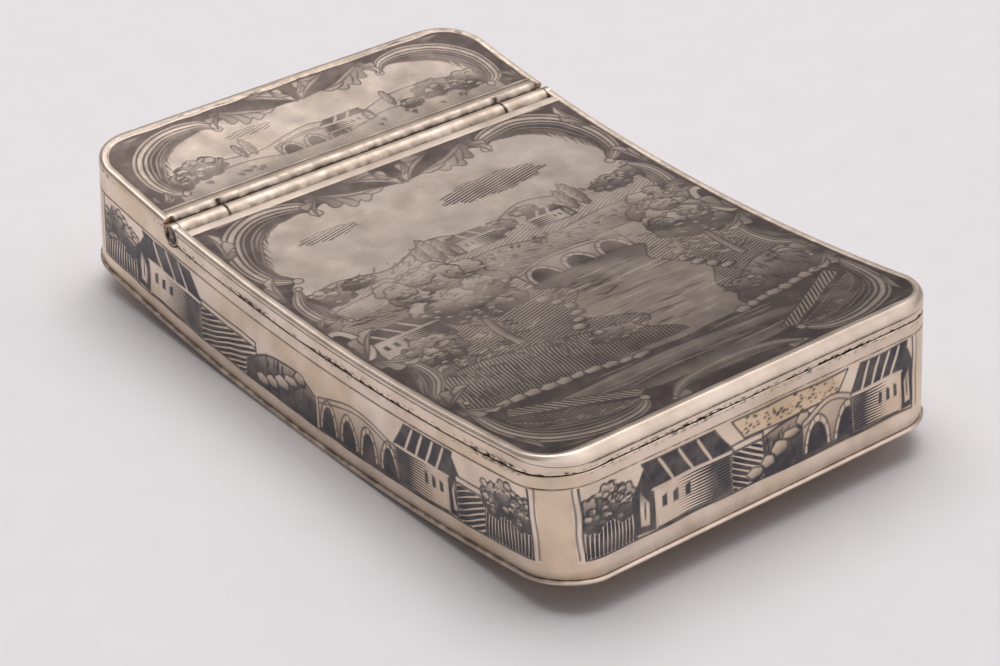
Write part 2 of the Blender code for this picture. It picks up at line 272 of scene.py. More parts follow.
def piece(name, points, faces, materials, body, slot, node, inner=None, **layers):
    """A finished piece: its mesh faces outwards, rides on a body and stands for a node.

    inner holds the numbers of faces that take the second material. Each layer is one value a point.
    """
    mesh = bpy.data.meshes.new(name)
    mesh.from_pydata(points.reshape(-1, 3), [], faces)
    if volume(mesh) < 0:
        mesh.flip_normals()
    for key, values in layers.items():
        attribute = mesh.attributes.new(key, "FLOAT", "POINT")
        attribute.data.foreach_set("value", np.ascontiguousarray(values, np.float32).ravel())
    for kind in materials:
        mesh.materials.append(the(kind))
    if inner is not None:
        choice = np.zeros(len(faces), np.int32)
        choice[inner] = 1
        mesh.polygons.foreach_set("material_index", choice)
    mesh.shade_smooth()
    mesh.set_sharp_from_angle(angle=SMOOTH_ANGLE)
    made = bpy.data.objects.new(name, mesh)
    bpy.context.scene.collection.objects.link(made)
    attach(made, body)
    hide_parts(node)


def swept_piece(name, grid, closed, materials, body, slot, node, inner_rows=None, **layers):
    """A piece from a section that is closed on itself, carried along an open or a closed route.

    Each layer is one value for the whole piece, or a value for each point or each row of its grid.
    """
    count, rows = grid.shape[:2]
    ids = np.arange(count * rows).reshape(count, rows)
    ring = np.hstack([ids, ids[:, :1]])
    if closed:
        ring = np.vstack([ring, ring[:1]])
    faces = grid_faces(ring)
    inner = None
    if inner_rows is not None:
        inner = np.nonzero(np.isin(np.arange(len(faces)) % rows, inner_rows))[0]
    if not closed:
        faces += [ids[0].tolist(), ids[-1][::-1].tolist()]
    filled = {key: np.broadcast_to(values, grid.shape[:2]) for key, values in layers.items()}
    piece(name, grid, faces, materials, body, slot, node, inner, **filled)


def cap_faces(loop):
    """Faces across a loop whose point i mirrors point -1 - i; its straight ends join the outer faces."""
    count = len(loop)
    flat = int((shape().width / 2 - shape().corner_radius) / SIDE_PITCH) - 1
    last = count // 2 - 1 - flat
    across = np.stack([loop, loop[::-1]], 1)[flat + 1:last]
    first = loop[:flat + 2].tolist() + loop[count - flat - 2:].tolist()
    return [first] + grid_faces(across) + [loop[last - 1:count - last + 1].tolist()]


def inlaid_plate(name, top, low, materials, body, slot, node, **layers):
    """A closed plate: a fine grid on top, plain sides, and an underside of strips across it."""
    rows, columns = top.shape[:2]
    ids = np.arange(rows * columns).reshape(rows, columns)
    under = rows * columns + np.arange(rows * 2).reshape(rows, 2)
    faces = grid_faces(ids)
    faces += grid_faces(np.stack([under[:, 0], ids[:, 0]], 1))
    faces += grid_faces(np.stack([ids[:, -1], under[:, 1]], 1))
    faces.append([int(under[0, 0]), int(under[0, 1])] + ids[0, ::-1].tolist())
    faces.append([int(under[-1, 1]), int(under[-1, 0])] + ids[-1].tolist())
    inner = len(faces) + np.arange(rows - 1)
    faces += grid_faces(under[:, ::-1])
    points = np.concatenate([top.reshape(-1, 3), low.reshape(-1, 3)])
    filled = {key: np.concatenate([np.ravel(values), np.zeros(rows * 2)]) for key, values in layers.items()}
    piece(name, points, faces, materials, body, slot, node, inner, **filled)


# Materials

def add(tree, kind, inputs, out=0, **settings):
    """Adds a node with its settings, sets or links its inputs, and gives one of its outputs.

    Inputs 6 and 7 are the two colours of a Mix node, which take an alpha as well.
    """
    node = tree.nodes.new("ShaderNode" + kind)
    for key, value in settings.items():
        setattr(node, key, value)
    for key, value in inputs.items():
        if isinstance(value, bpy.types.NodeSocket):
            tree.links.new(value, node.inputs[key])
        else:
            node.inputs[key].default_value = (*value, 1.0) if key in (6, 7) else value
    return node.outputs[out]


def new_material(name, **sockets):
    """A Principled material: its node tree, its shader's inputs and the object's coordinates."""
    material = bpy.data.materials.new(name)
    material.use_nodes = True
    tree = material.node_tree
    shader = tree.nodes["Principled BSDF"].inputs
    for key, value in sockets.items():
        shader[key.replace("_", " ")].default_value = value
    return material, tree, shader, add(tree, "TexCoord", {}, "Object")


def cloudy(tree, coords, size, low, high, to_low=0.0, to_high=1.0, detail=3.0, stretch=(1, 1, 1)):
    """A cloudy pattern with features size metres across, whose middle range is spread over new limits."""
    scaled = add(tree, "Mapping", {"Vector": coords, "Scale": stretch})
    noise = add(tree, "TexNoise", {"Vector": scaled, "Scale": 1 / size, "Detail": detail})
    limits = {"Value": noise, "From Min": low, "From Max": high, "To Min": to_low, "To Max": to_high}
    return add(tree, "MapRange", limits)


def tarnished(tree, coords, worn, dull):
    """Colour and roughness of old silver: bright in patches, coppery where worn, dull in between.

    The worn layer is the wear that a piece's own places have beside that. dull is added to the roughness.
    """
    look = finish()
    rubbed = add(tree, "Attribute", {}, "Fac", attribute_name="worn")
    share = cloudy(tree, coords, 9 * MM, 0.38, 0.66, 0.0, worn)
    share = add(tree, "Math", {0: share, 1: rubbed}, operation="ADD", use_clamp=True)
    colour = add(tree, "Mix", {0: share, 6: look.silver, 7: look.copper}, 2, data_type="RGBA")
    film = cloudy(tree, coords, 4.5 * MM, 0.44, 0.74, 0.0, 0.26, 6.0)
    colour = add(tree, "Mix", {0: film, 6: colour, 7: look.tarnish}, 2, data_type="RGBA")
    low, high = look.silver_roughness + dull - 0.03, look.silver_roughness + dull + 0.07
    return colour, cloudy(tree, coords, 3.0 * MM, 0.3, 0.7, low, high, 5.0)


def scratches(tree, coords, shader, strength, relief=None):
    """Fine handling scratches 0.1 mm wide and shallow dents 3 mm across, under any engraved relief."""
    height = cloudy(tree, coords, 3.0 * MM, 0.2, 0.8, 0.0, 2.4, 2.0)
    for stretch in ((1.0, 0.06, 1.0), (0.06, 1.0, 1.0), (0.5, 0.5, 0.08)):
        fine = cloudy(tree, coords, 0.12 * MM, 0.2, 0.8, 0.0, 0.7, 1.0, stretch)
        height = add(tree, "Math", {0: height, 1: fine}, operation="ADD")
    if relief:
        sunk = add(tree, "Math", {0: relief, 1: 2.0}, operation="MULTIPLY")
        height = add(tree, "Math", {0: height, 1: sunk}, operation="SUBTRACT")
    normal = add(tree, "Bump", {"Strength": strength, "Distance": 0.0022 * MM, "Height": height})
    tree.links.new(normal, shader["Normal"])


def rubbed_silver(name, worn, dull):
    """Sterling silver, raised and burnished by hand: a warm white mirror that handling has dulled."""
    material, tree, shader, coords = new_material(name, Metallic=1.0)
    colour, roughness = tarnished(tree, coords, worn, dull)
    patchy = cloudy(tree, coords, 1.2 * MM, 0.3, 0.6, 0.35, 1.0, 4.0)
    # The grime layer holds dirt and painted shade. It darkens the base colour towards the grime colour, in
    # patches.
    grime = add(tree, "Attribute", {}, "Fac", attribute_name="grime")
    dark = add(tree, "Math", {0: grime, 1: patchy}, operation="MULTIPLY")
    colour = add(tree, "Mix", {0: dark, 6: colour, 7: finish().grime}, 2, data_type="RGBA")
    tree.links.new(colour, shader["Base Color"])
    dirty = add(tree, "Math", {0: dark, 1: 0.4}, operation="MULTIPLY")
    tree.links.new(add(tree, "Math", {0: roughness, 1: dirty}, operation="ADD"), shader["Roughness"])
    scratches(tree, coords, shader, 0.6)
    return material


def nielloed_silver(name, worn, niello):
    """Engraved silver filled with niello, a black sulphide, and polished flush: a dull dark mirror.

    The lines of the hatching are the crests of a cosine wave along the phase layer, cut off at a
    height that the hatch layer lowers, so more hatch gives wider lines.
    """
    material, tree, shader, coords = new_material(name, Metallic=1.0)
    colour, roughness = tarnished(tree, coords, worn, 0.0)
    phase = add(tree, "Attribute", {}, "Fac", attribute_name="phase")
    angle = add(tree, "Math", {0: phase, 1: 2 * math.pi}, operation="MULTIPLY")
    wave = add(tree, "Math", {0: angle}, operation="COSINE")
    hatch = add(tree, "Attribute", {}, "Fac", attribute_name="hatch")
    cut = add(tree, "MapRange", {"Value": hatch, "To Min": 1.3, "To Max": -1.1})
    crest = add(tree, "Math", {0: wave, 1: cut}, operation="SUBTRACT")
    lines = add(tree, "MapRange", {"Value": crest, "From Min": -0.3, "From Max": 0.3, "To Max": 0.97})
    ink = add(tree, "Attribute", {}, "Fac", attribute_name="ink")
    inked = add(tree, "Math", {0: ink, 1: lines}, operation="MAXIMUM")
    gold = add(tree, "Attribute", {}, "Fac", attribute_name="gold")
    gold = add(tree, "Math", {0: gold, 1: 0.14}, operation="MULTIPLY")
    colour = add(tree, "Mix", {0: gold, 6: colour, 7: finish().gilt}, 2, data_type="RGBA")
    rubbed = cloudy(tree, coords, 2.4 * MM, 0.26, 0.55, 0.86, 1.0, 5.0)
    inked = add(tree, "Math", {0: inked, 1: rubbed}, operation="MULTIPLY")
    colour = add(tree, "Mix", {0: inked, 6: colour, 7: niello}, 2, data_type="RGBA")
    tree.links.new(colour, shader["Base Color"])
    dull = finish().niello_roughness - finish().silver_roughness
    dull = add(tree, "Math", {0: inked, 1: dull}, operation="MULTIPLY")
    tree.links.new(add(tree, "Math", {0: roughness, 1: dull}, operation="ADD"), shader["Roughness"])
    scratches(tree, coords, shader, 0.6, lines)
    return material


def gilded(name):
    """Fire gilding on silver: a soft yellow mirror, thin and paler where snuff was scraped out."""
    material, tree, shader, coords = new_material(name, Metallic=1.0, Roughness=0.32)
    look = finish()
    worn = cloudy(tree, coords, 7 * MM, 0.45, 0.75, 0.0, 0.5, 5.0)
    colour = add(tree, "Mix", {0: worn, 6: look.gilt, 7: look.silver}, 2, data_type="RGBA")
    stain = cloudy(tree, coords, 1.3 * MM, 0.55, 0.75, 0.0, 0.35, 4.0)
    colour = add(tree, "Mix", {0: stain, 6: colour, 7: look.tarnish}, 2, data_type="RGBA")
    tree.links.new(colour, shader["Base Color"])
    scratches(tree, coords, shader, 0.5)
    return material


def drawn_wire(name):
    """Drawn iron wire: grey, with fine marks round it."""
    material, tree, shader, coords = new_material(name, Metallic=1.0, Roughness=0.4)
    marks = cloudy(tree, coords, 0.2 * MM, 0.3, 0.7, stretch=(4.0, 0.5, 0.5))
    colour = add(tree, "Mix", {0: marks, 6: linear("#8d8884"), 7: linear("#6a6460")}, 2, data_type="RGBA")
    tree.links.new(colour, shader["Base Color"])
    return material


def table_paper(name):
    """Matt paper: even and pale, with a faint mottle about 6 mm across."""
    material, tree, shader, coords = new_material(name, Roughness=0.9, Specular_IOR_Level=0.2)
    pale = bpy.context.scene.snuff_box_studio.floor
    mottle = cloudy(tree, coords, 6 * MM, 0.3, 0.7, detail=5.0)
    colour = add(tree, "Mix", {0: mottle, 6: pale, 7: [0.975 * part for part in pale]}, 2, data_type="RGBA")
    tree.links.new(colour, shader["Base Color"])
    return material


def the(kind):
    """The one material of a kind, made when it is first asked for."""
    makers = {
        "rubbed silver": lambda name: rubbed_silver(name, 0.3, 0.14),
        "wall silver": lambda name: rubbed_silver(name, 0.45, 0.06),
        "nielloed plate": lambda name: nielloed_silver(name, 0.3, finish().niello_plate),
        "nielloed wall": lambda name: nielloed_silver(name, 0.45, finish().niello_wall),
        "gilding": gilded,
        "drawn wire": drawn_wire,
        "table paper": table_paper,
    }
    return bpy.data.materials.get(kind) or makers[kind](kind)


# Sections and small shapes

def grime_near(height, places, reach):
    """How dirty each place is: full at the listed heights, and none reach away from them."""
    gap = np.abs(np.asarray(height)[..., None] - np.asarray(places)).min(-1)
    return np.clip(1 - gap / reach, 0, 1)


def smooth_noise(x, seed, pitch):
    """A slow wave of several tones along x: a handmade edge's unevenness, about -1 to 1."""
    random = np.random.default_rng(seed)
    total = np.zeros_like(x)
    for tone in range(1, 6):
        total += np.sin(2 * math.pi * x * tone / pitch + random.uniform(0, 2 * math.pi)) / tone
    return total / 2


def blotches(a, b, seed, size):
    """Uneven patches about size across over two coordinates: the mean of crossing waves, about -1 to 1."""
    random = np.random.default_rng(seed)
    total = 0.0
    for angle, phase, tone in random.uniform(0, 1, (14, 3)):
        turn, pitch = 2 * math.pi * angle, size * (0.7 + 1.6 * tone)
        total = total + np.sin(2 * math.pi * ((a * math.cos(turn) + b * math.sin(turn)) / pitch + phase))
    return total / 4


def run_along(places):
    """Distance along a route at each of its points."""
    steps = np.linalg.norm(np.diff(places, axis=0), axis=1)
    return np.concatenate([[0], np.cumsum(steps)])


def field_inset(normals, half_width, far, radius):
    """How far inside the wall's line a plate's drawn field begins, along each normal of a route."""
    box = shape()
    across, along = np.abs(normals).T
    wide, long = box.width / 2 - box.corner_radius, box.length / 2 - box.corner_radius
    wall = wide * across + long * along + box.corner_radius
    field = ((half_width - radius) * across + (far - radius) * along + radius) * MM
    return (wall - field)[:, None]


def bead_section(reach, drop, plain, rear):
    """Edge moulding: a bulging face, a quick turn to a flat crown, then a slow fall to the drawn field.

    The face's arcs of radius r between two tilts run r times the step of the tilt's sine inwards, and r
    times the step of its cosine upwards.

    reach is how far in the field begins, drop how far the foot hangs below the groove's height, plain
    how far the bulge is rubbed flush with the band under it, and rear how far a place faces the rear,
    where the crown is rubbed lower and rounder, each one value for each point of the route.
    """
    box = shape()
    full = 1.6 * MM                # a moulding of this width bulges to its full size
    size = np.clip(reach / full, 0.55, 1)
    crown = box.depth + (0.11 - 0.1 * rear) * MM * size
    foot = box.groove + 0.03 * MM - drop
    proud = MM * (1 - plain)       # the bulge stands 0.05 of this out at its foot and 0.06 at its middle
    tilt = np.radians([0, 5, 14, 24, 36, 46, 56, 66, 75, 84])
    flat, edge, face = 3.0 * MM * size, (0.22 + 0.5 * rear) * MM * size, (1.1 * MM + drop) * size
    radius = np.hstack([flat, edge, edge, edge, face, face, face, face, face])
    out = np.hstack([0 * size, np.cumsum(radius * np.diff(np.sin(tilt)), axis=1)])[:, ::-1]
    down = np.hstack([0 * size, np.cumsum(-radius * np.diff(np.cos(tilt)), axis=1)])[:, ::-1]
    top = out[:, :1] - 0.06 * proud
    fall = np.linspace(0, 1, 9)[1:]
    each = np.ones_like(reach)
    inset = np.hstack([0 * each, -0.05 * proud, top - out, top + (reach - top) * fall, reach,
                       each * np.array([0.8, 0.7, 0.06]) * MM])
    under, back = each * (box.depth - 0.3 * MM), foot - 0.04 * MM     # its hidden rows
    height = np.hstack([foot, foot + 0.07 * MM, crown - down,
                        crown - (crown - box.depth + 0.02 * MM) * fall ** 1.6, under, under, back, back])
    return inset, height


def hang(normals):
    """How far the lid's moulding hangs below the groove's height: most along its free edge."""
    return 0.75 * MM * np.clip(-normals[:, 1:], 0, 1)


def sag(normals):
    """How far the base's lip and the wall's foot hang down: most along the lid's free end."""
    return 0.28 * MM * np.clip(-normals[:, 1:], 0, 1) ** 6


def corner_share(normals):
    """1 on the plan corners and 0 on the straights, over a route's normals."""
    return np.clip(3.2 * np.abs(normals[:, :1] * normals[:, 1:]), 0, 1)


def corner_wear(route, seed):
    """Wear along a route: most on the plan corners, with long patches on the straights."""
    places, normals = route
    patches = np.clip(0.9 * smooth_noise(run_along(places), seed, 61 * MM) - 0.15, 0, 0.5)
    return np.maximum(0.8 * corner_share(normals), patches[:, None])


def pitting(route, height, seed, level):
    """Pits in a worn edge, where over 0: fine ones in patches about 9 mm long, most along the free end."""
    run = run_along(route[0])[:, None]
    pits = blotches(run, height * 2.5, seed, 0.7 * MM) + 0.6 * blotches(run, height, 24, 9 * MM)
    return pits - level + 0.3 * np.clip(-route[1][:, 1:], 0, 1)


def moulding(name, toward, station, body, node, seed, field):
    """The rounded edge wire round one end of the top, uneven as a worn one is."""
    box = shape()
    route = open_route(toward, station)
    across, along = route[1][:, :1], route[1][:, 1:]
    reach, drop = field_inset(route[1], *field), hang(route[1])
    inset, height = bead_section(reach, drop, corner_share(route[1]), np.clip(along, 0, 1))
    run = run_along(route[0])[:, None]
    wear = smooth_noise(run, seed, 31 * MM) * 0.02 * MM
    raised = np.clip((height - box.groove) / (box.depth - box.groove), 0, 1)
    notch = np.sqrt(np.clip(box.tube_notch ** 2 - (height - box.hinge_height) ** 2, 0, None))
    ends = np.full_like(height, station) if toward > 0 else box.hinge_station - notch
    grid = sweep(route, inset + wear * raised, height + wear * raised, ends)
    # Dirt lies in the groove, beside the drawn field and in streaks down the fall, and painted shade darkens
    # the far right and rear sides
    grime = grime_near(height + drop, [box.groove], GROOVE_DIRT) * (1 - 0.95 * corner_share(route[1]))
    grime = grime + 0.45 * np.clip(1 - (reach - inset) / (0.14 * MM), 0, 1)
    streaks = np.clip(1.5 * blotches(run, inset * 12, seed, 5 * MM) - 0.7, 0, 1)
    grime = grime + 0.4 * streaks * (inset > 0.9 * MM)
    # Painted shade: darker along the far right and rear sides, by the direction that each side faces
    grime = grime + (np.clip(across, 0, 1) + np.clip(along, 0, 1)) * np.where(inset > 0.4 * MM, 0.4, 0.3)
    swept_piece(name, grid, False, ["rubbed silver"], body, "bright_silver", node, grime=np.clip(grime, 0, 1))


def turned(name, radius, along, material, body, slot, node, grime=0.0):
    """A turned form on the hinge's axis: radius, and place along x, carried all the way round."""
    joint = frame["joints"][0]["pos_m"]
    angle = np.linspace(0, 2 * math.pi, TURN_STEPS, endpoint=False)[:, None]
    y, z = joint[1] + np.cos(angle) * radius, joint[2] + np.sin(angle) * radius
    grid = np.stack(np.broadcast_arrays(along, y, z), -1)
    swept_piece(name, grid, True, [material], body, slot, node, grime=grime)


# Drawing in niello

def smooth(points, closed=False, steps=7):
    """A smooth curve through points: cubic stretches whose slope at a point follows its neighbours."""
    points = np.asarray(points, float)
    if closed:
        padded = np.vstack([points[-1:], points, points[:2]])
    else:
        padded = np.vstack([2 * points[0] - points[1], points, 2 * points[-1] - points[-2]])
    before, start, end, after = padded[:-3], padded[1:-2], padded[2:-1], padded[3:]
    t = np.linspace(0, 1, steps, endpoint=False)[None, :, None]
    before, start, end, after = (p[:, None, :] for p in (before, start, end, after))
    curve = start + t / 2 * (end - before + t * (2 * before - 5 * start + 4 * end - after
                                                 + t * (3 * (start - end) + after - before)))
    curve = curve.reshape(-1, 2)
    return curve if closed else np.vstack([curve, points[-1:]])


def arc(x, y, across, up, start=0, end=360):
    """Points of an ellipse between two angles in degrees."""
    angle = np.radians(np.linspace(start, end, max(8, int(abs(end - start) / 9))))
    return np.stack([x + across * np.cos(angle), y + up * np.sin(angle)], 1)


def lobed(x, y, across, up, lobes=7, start=0.0):
    """A scalloped outline: an ellipse whose radius swells by a fifth in each lobe."""
    angle = np.linspace(0, 2 * math.pi, lobes * 5, endpoint=False)
    swell = 0.88 + 0.2 * np.abs(np.sin(lobes * angle / 2 + start))
    return np.stack([x + across * swell * np.cos(angle), y + up * swell * np.sin(angle)], 1)


def bow(start, end, bulge, count=9):
    """A curve between two points that bulges to its left by a share of its length."""
    start, end = np.asarray(start, float), np.asarray(end, float)
    share = np.linspace(0, 1, count)[:, None]
    side = np.array([-(end - start)[1], (end - start)[0]])
    return start + (end - start) * share + side * bulge * 4 * share * (1 - share)


def beside(points, distance):
    """The curve that runs to the left of another at a distance, which may vary along it."""
    slope = np.gradient(points, axis=0)
    slope /= np.linalg.norm(slope, axis=1)[:, None] + 1e-9
    return points + np.stack([-slope[:, 1], slope[:, 0]], 1) * np.reshape(distance, (-1, 1))


class Niello:
    """A drawing on places x, y in mm.

    ink is 0 for bare silver and 1 for niello, hatch is the dark share of a pattern of lines, and phase
    says how many of those lines lie before a place. The places are shaken by a few slow waves, so that
    every line comes out a little uneven, as a hand cuts it.
    """

    def __init__(self, x, y, seed):
        waves = np.random.default_rng(seed).uniform(-1.3, 1.3, (2, 5, 3))
        shake = [np.sin(np.multiply.outer(x, w[:, 0]) + np.multiply.outer(y, w[:, 1]) + 9 * w[:, 2]).sum(-1)
                 for w in waves]
        self.x = (x + 0.03 * shake[0]).ravel()
        self.y = (y + 0.03 * shake[1]).ravel()
        self.ink, self.hatch, self.phase, self.gold = np.zeros((4, x.size))

    def near(self, points, reach):
        """Numbers of the places in the box round some points."""
        low, high = points.min(0) - reach, points.max(0) + reach
        return np.nonzero((self.x > low[0]) & (self.x < high[0]) & (self.y > low[1]) & (self.y < high[1]))[0]

    def distance(self, where, points, reach):
        """Distance from places to a line of points up to a reach, and how far along the line it is."""
        x, y = self.x[where], self.y[where]
        best, share = np.full(x.size, 2.0 * reach), np.zeros(x.size)
        for i, (start, end) in enumerate(zip(points[:-1], points[1:])):
            low, high = np.minimum(start, end) - reach, np.maximum(start, end) + reach
            close = np.nonzero((x > low[0]) & (x < high[0]) & (y > low[1]) & (y < high[1]))[0]
            step = end - start
            dx, dy = x[close] - start[0], y[close] - start[1]
            along = np.clip((dx * step[0] + dy * step[1]) / (step @ step + 1e-12), 0, 1)
            gap = np.hypot(dx - along * step[0], dy - along * step[1])
            closer = gap < best[close]
            best[close[closer]] = gap[closer]
            share[close[closer]] = (i + along[closer]) / (len(points) - 1)
        return best, share

    def cover(self, where, share, ink):
        """Lays ink over places, each by its share, and clears the hatching there."""
        self.ink[where] += (ink - self.ink[where]) * share
        self.hatch[where] *= 1 - share

    def line(self, points, width=0.2, ink=0.95, swell=0.5):
        """A cut along points, width mm wide, that swells in its middle."""
        points = np.asarray(points, float)
        reach = width / 2 + EDGE_SOFTNESS
        where = self.near(points, reach)
        gap, share = self.distance(where, points, reach)
        half = width / 2 * np.clip(4 * share * (1 - share), 0.02, 1) ** swell
        self.cover(where, np.clip((half - gap) / EDGE_SOFTNESS + 0.5, 0, 1), ink)

    def within(self, where, outline):
        """How far places lie inside a closed outline: a share that fades over its edge."""
        x, y = self.x[where], self.y[where]
        inside = np.zeros(x.size, bool)
        closed = np.vstack([outline, outline[:1]])
        for (start_x, start_y), (end_x, end_y) in zip(closed[:-1], closed[1:]):
            if start_y != end_y:
                edge_x = start_x + (end_x - start_x) * (y - start_y) / (end_y - start_y)
                inside ^= ((start_y > y) != (end_y > y)) & (x < edge_x)
        gap = self.distance(where, closed, EDGE_SOFTNESS)[0]
        return np.clip(np.where(inside, gap, -gap) / EDGE_SOFTNESS + 0.5, 0, 1)

    def fill(self, outline, ink=0.0, hatch=None, angle=0.0, pitch=0.36, toward=None, edge=0.0):
        """Fills an outline with ink, and with lines at an angle in degrees.

        ink, and hatch, the dark share of the lines, are one value each or the steps that they run
        through in the direction toward. edge is the width of a dark line round the outline.
        """
        outline = np.asarray(outline, float)
        where = self.near(outline, EDGE_SOFTNESS)
        share = self.within(where, outline)
        turn = math.radians(angle)
        way = math.radians(angle + 90 if toward is None else toward)
        ends = outline @ np.array([math.cos(way), math.sin(way)])
        depth = self.x[where] * math.cos(way) + self.y[where] * math.sin(way)
        depth = (depth - ends.min()) / (np.ptp(ends) + 1e-9)
        self.cover(where, share, np.interp(depth, np.linspace(0, 1, np.size(ink)), np.atleast_1d(ink)))
        if hatch is not None:
            chosen, depth = where[share > 0.5], depth[share > 0.5]
            self.hatch[chosen] = np.interp(depth, np.linspace(0, 1, np.size(hatch)), np.atleast_1d(hatch))
            self.phase[chosen] = (-self.x[chosen] * math.sin(turn) + self.y[chosen] * math.cos(turn)) / pitch
        if edge:
            self.line(np.vstack([outline, outline[:1]]), edge, swell=0.0)

    def gild(self, outline):
        """Gives the silver inside an outline a gilt tone."""
        outline = np.asarray(outline, float)
        where = self.near(outline, EDGE_SOFTNESS)
        self.gold[where] = np.maximum(self.gold[where], self.within(where, outline))

    def surround(self, outline, ink):
        """Lays ink over everything outside a closed outline."""
        everywhere = np.arange(self.x.size)
        self.cover(everywhere, 1 - self.within(everywhere, np.asarray(outline, float)), ink)

    def rub(self, across, from_y, to_y, seed, least=0.68):
        """Wears the drawing thin in patches, down to a least share, over the middle of a plate."""
        up = (self.y - (from_y + to_y) / 2) / ((to_y - from_y) / 2)
        spread = np.clip(1.5 - 1.2 * np.hypot(self.x / across, up), 0, 1)
        patch = np.clip(0.5 + 0.8 * blotches(self.x, self.y, seed, 5), 0, 1)
        thin = 1 - (1 - least) * spread * patch
        self.ink *= thin
        self.hatch *= 0.5 + 0.5 * thin

    def layers(self, size):
        """The drawing's values as layers of a piece with a grid of that size."""
        return {"ink": self.ink.reshape(size), "hatch": self.hatch.reshape(size),
                "phase": self.phase.reshape(size)}


def band(path, outer, inner):
    """The outline between two curves that run beside a path."""
    return np.vstack([beside(path, outer), beside(path, inner)[::-1]])


def heading_of(root, tip):
    """The direction from one place to another, in degrees."""
    return math.degrees(math.atan2(tip[1] - root[1], tip[0] - root[0]))


def scroll(niello, points, width, outer=1, shade=1.0, seed=1):
    """A C-scroll: fine pale bands on a dark one, and a dark crescent with a few pale cuts within its curve.

    outer is 1 where the scroll's outer side lies to the left of its points, and -1 where it lies to
    the right. shade is the crescent's width as a share of the scroll's.
    """
    random = np.random.default_rng(seed)
    path = smooth(points)
    share = np.linspace(0, 1, len(path))
    taper = outer * width * np.clip(4 * share * (1 - share), 0, 1) ** 0.55
    crescent = taper * (0.35 + shade * np.sin(math.pi * share) ** 2)
    niello.fill(band(path, 0.55 * taper, -crescent), 0.97)
    inside = beside(path, -crescent)
    for k in range(6, len(path) - 6):
        tip = inside[min(k + 5, len(path) - 1)] + (inside[k] - path[k]) * random.uniform(0.05, 0.3)
        niello.line(np.array([beside(path, -0.6 * crescent)[k], tip]), 0.2, 0.9, 0.3)
    for near, far, ink in ((0.50, 0.40, 0.35), (0.30, 0.13, 0.08), (0.02, -0.08, 0.3), (-0.20, -0.26, 0.6)):
        niello.fill(band(path, near * taper, far * taper), ink)
    for depth, first, last in ((-0.55, 0.3, 0.72), (-0.75, 0.38, 0.62), (-0.9, 0.44, 0.8)):
        cut = beside(path, depth * crescent)[int(first * len(path)):int(last * len(path))]
        niello.line(cut, 0.16, 0.5, 0.6)
    for x, y in (path[0], path[-1]):
        niello.fill(arc(x, y, 0.18 * width, 0.18 * width), 0.15, edge=0.2)


def leaf(niello, root, tip, bulge, pale=0.03):
    """A curved leaf: two bows from root to tip, dark at the root, with a rib."""
    upper, lower = bow(root, tip, bulge), bow(root, tip, bulge * 0.1)
    niello.fill(np.vstack([upper, lower[::-1]]), (0.9, 0.4, pale), toward=heading_of(root, tip), edge=0.18)
    niello.line(bow(root, tip, bulge * 0.6), 0.2, 0.9, 0.7)


def acanthus(niello, root, tip, bulge, lobes=4):
    """An acanthus leaf: its outer edge runs in lobes, and a vein runs down to each notch."""
    root, tip = np.asarray(root, float), np.asarray(tip, float)
    spine = bow(root, tip, 0.4 * bulge, 29)
    share = np.linspace(0, 1, len(spine))
    swell = np.linalg.norm(tip - root) * bulge * np.sin(math.pi * share ** 0.8)
    outer = beside(spine, swell * (0.5 + 0.6 * np.abs(np.sin(lobes * math.pi * share))))
    niello.fill(np.vstack([outer, beside(spine, -0.3 * swell)[::-1]]), (0.9, 0.45, 0.1),
                toward=heading_of(root, tip), edge=0.2)
    niello.line(spine, 0.24, 0.92, 0.6)
    for k in range(1, lobes):
        notch = int(k / lobes * (len(spine) - 1))
        niello.line(bow(spine[max(notch - 6, 0)], outer[notch], 0.1, 6), 0.3, 0.9, 0.5)


def spray(niello, root, heading, length, count=4, spread=70.0, bulge=0.3):
    """A fan of leaves from one root, the middle ones longest."""
    root = np.asarray(root, float)
    for k in range(count):
        share = k / max(count - 1, 1) - 0.5
        angle = math.radians(heading + spread * share)
        reach = length * (1 - 0.9 * share ** 2)
        tip = root + reach * np.array([math.cos(angle), math.sin(angle)])
        leaf(niello, root, tip, bulge if share > 0 else -bulge)


def crown(niello, x, y, across, up, seed, dark=0.9):
    """A tree's crown: a lobed mass, dark at its foot, with loops of leaves cut dark and pale over it."""
    random = np.random.default_rng(seed)
    niello.fill(lobed(x, y, across, up, 9, seed), (0.97, dark, 0.6, 0.2), toward=75, edge=0.24)
    for _ in range(max(4, int(across * up / 1.7))):
        a, b = random.uniform(-0.8, 0.8, 2)
        size = 0.24 * math.sqrt(across * up)
        shade = (0.97, 0.5, 0.1, 0.0) if b > -0.2 else (0.97, 0.8, 0.3)
        niello.fill(lobed(x + across * a, y + up * b, 1.2 * size, size, 6, 3 * a), shade, toward=70, edge=0.2)
    for a, b, turn in random.uniform(-1, 1, (int(5 * across * up), 3)):
        if a * a + b * b < 1.0:
            size = 0.36 + 0.14 * turn
            loop = arc(x + across * a, y + up * b, size, 0.7 * size, 30 * turn, 190 + 30 * turn)
            niello.line(loop, 0.2, 0.97 if turn > -0.3 else 0.04, 0.4)


def tree(niello, x, y, height, across, seed):
    """A leaning trunk with its shaded side, and a crown on it."""
    top = (x + 0.08 * height, y + 0.6 * height)
    thick = 0.035 * height
    trunk = np.vstack([bow((x - thick, y), (top[0] - 0.5 * thick, top[1]), 0.05),
                       bow((x + thick, y), (top[0] + 0.5 * thick, top[1]), 0.05)[::-1]])
    niello.fill(trunk, (0.15, 0.8, 0.97), toward=0, edge=0.24)
    crown(niello, top[0], y + 0.72 * height, across, 0.36 * height, seed)


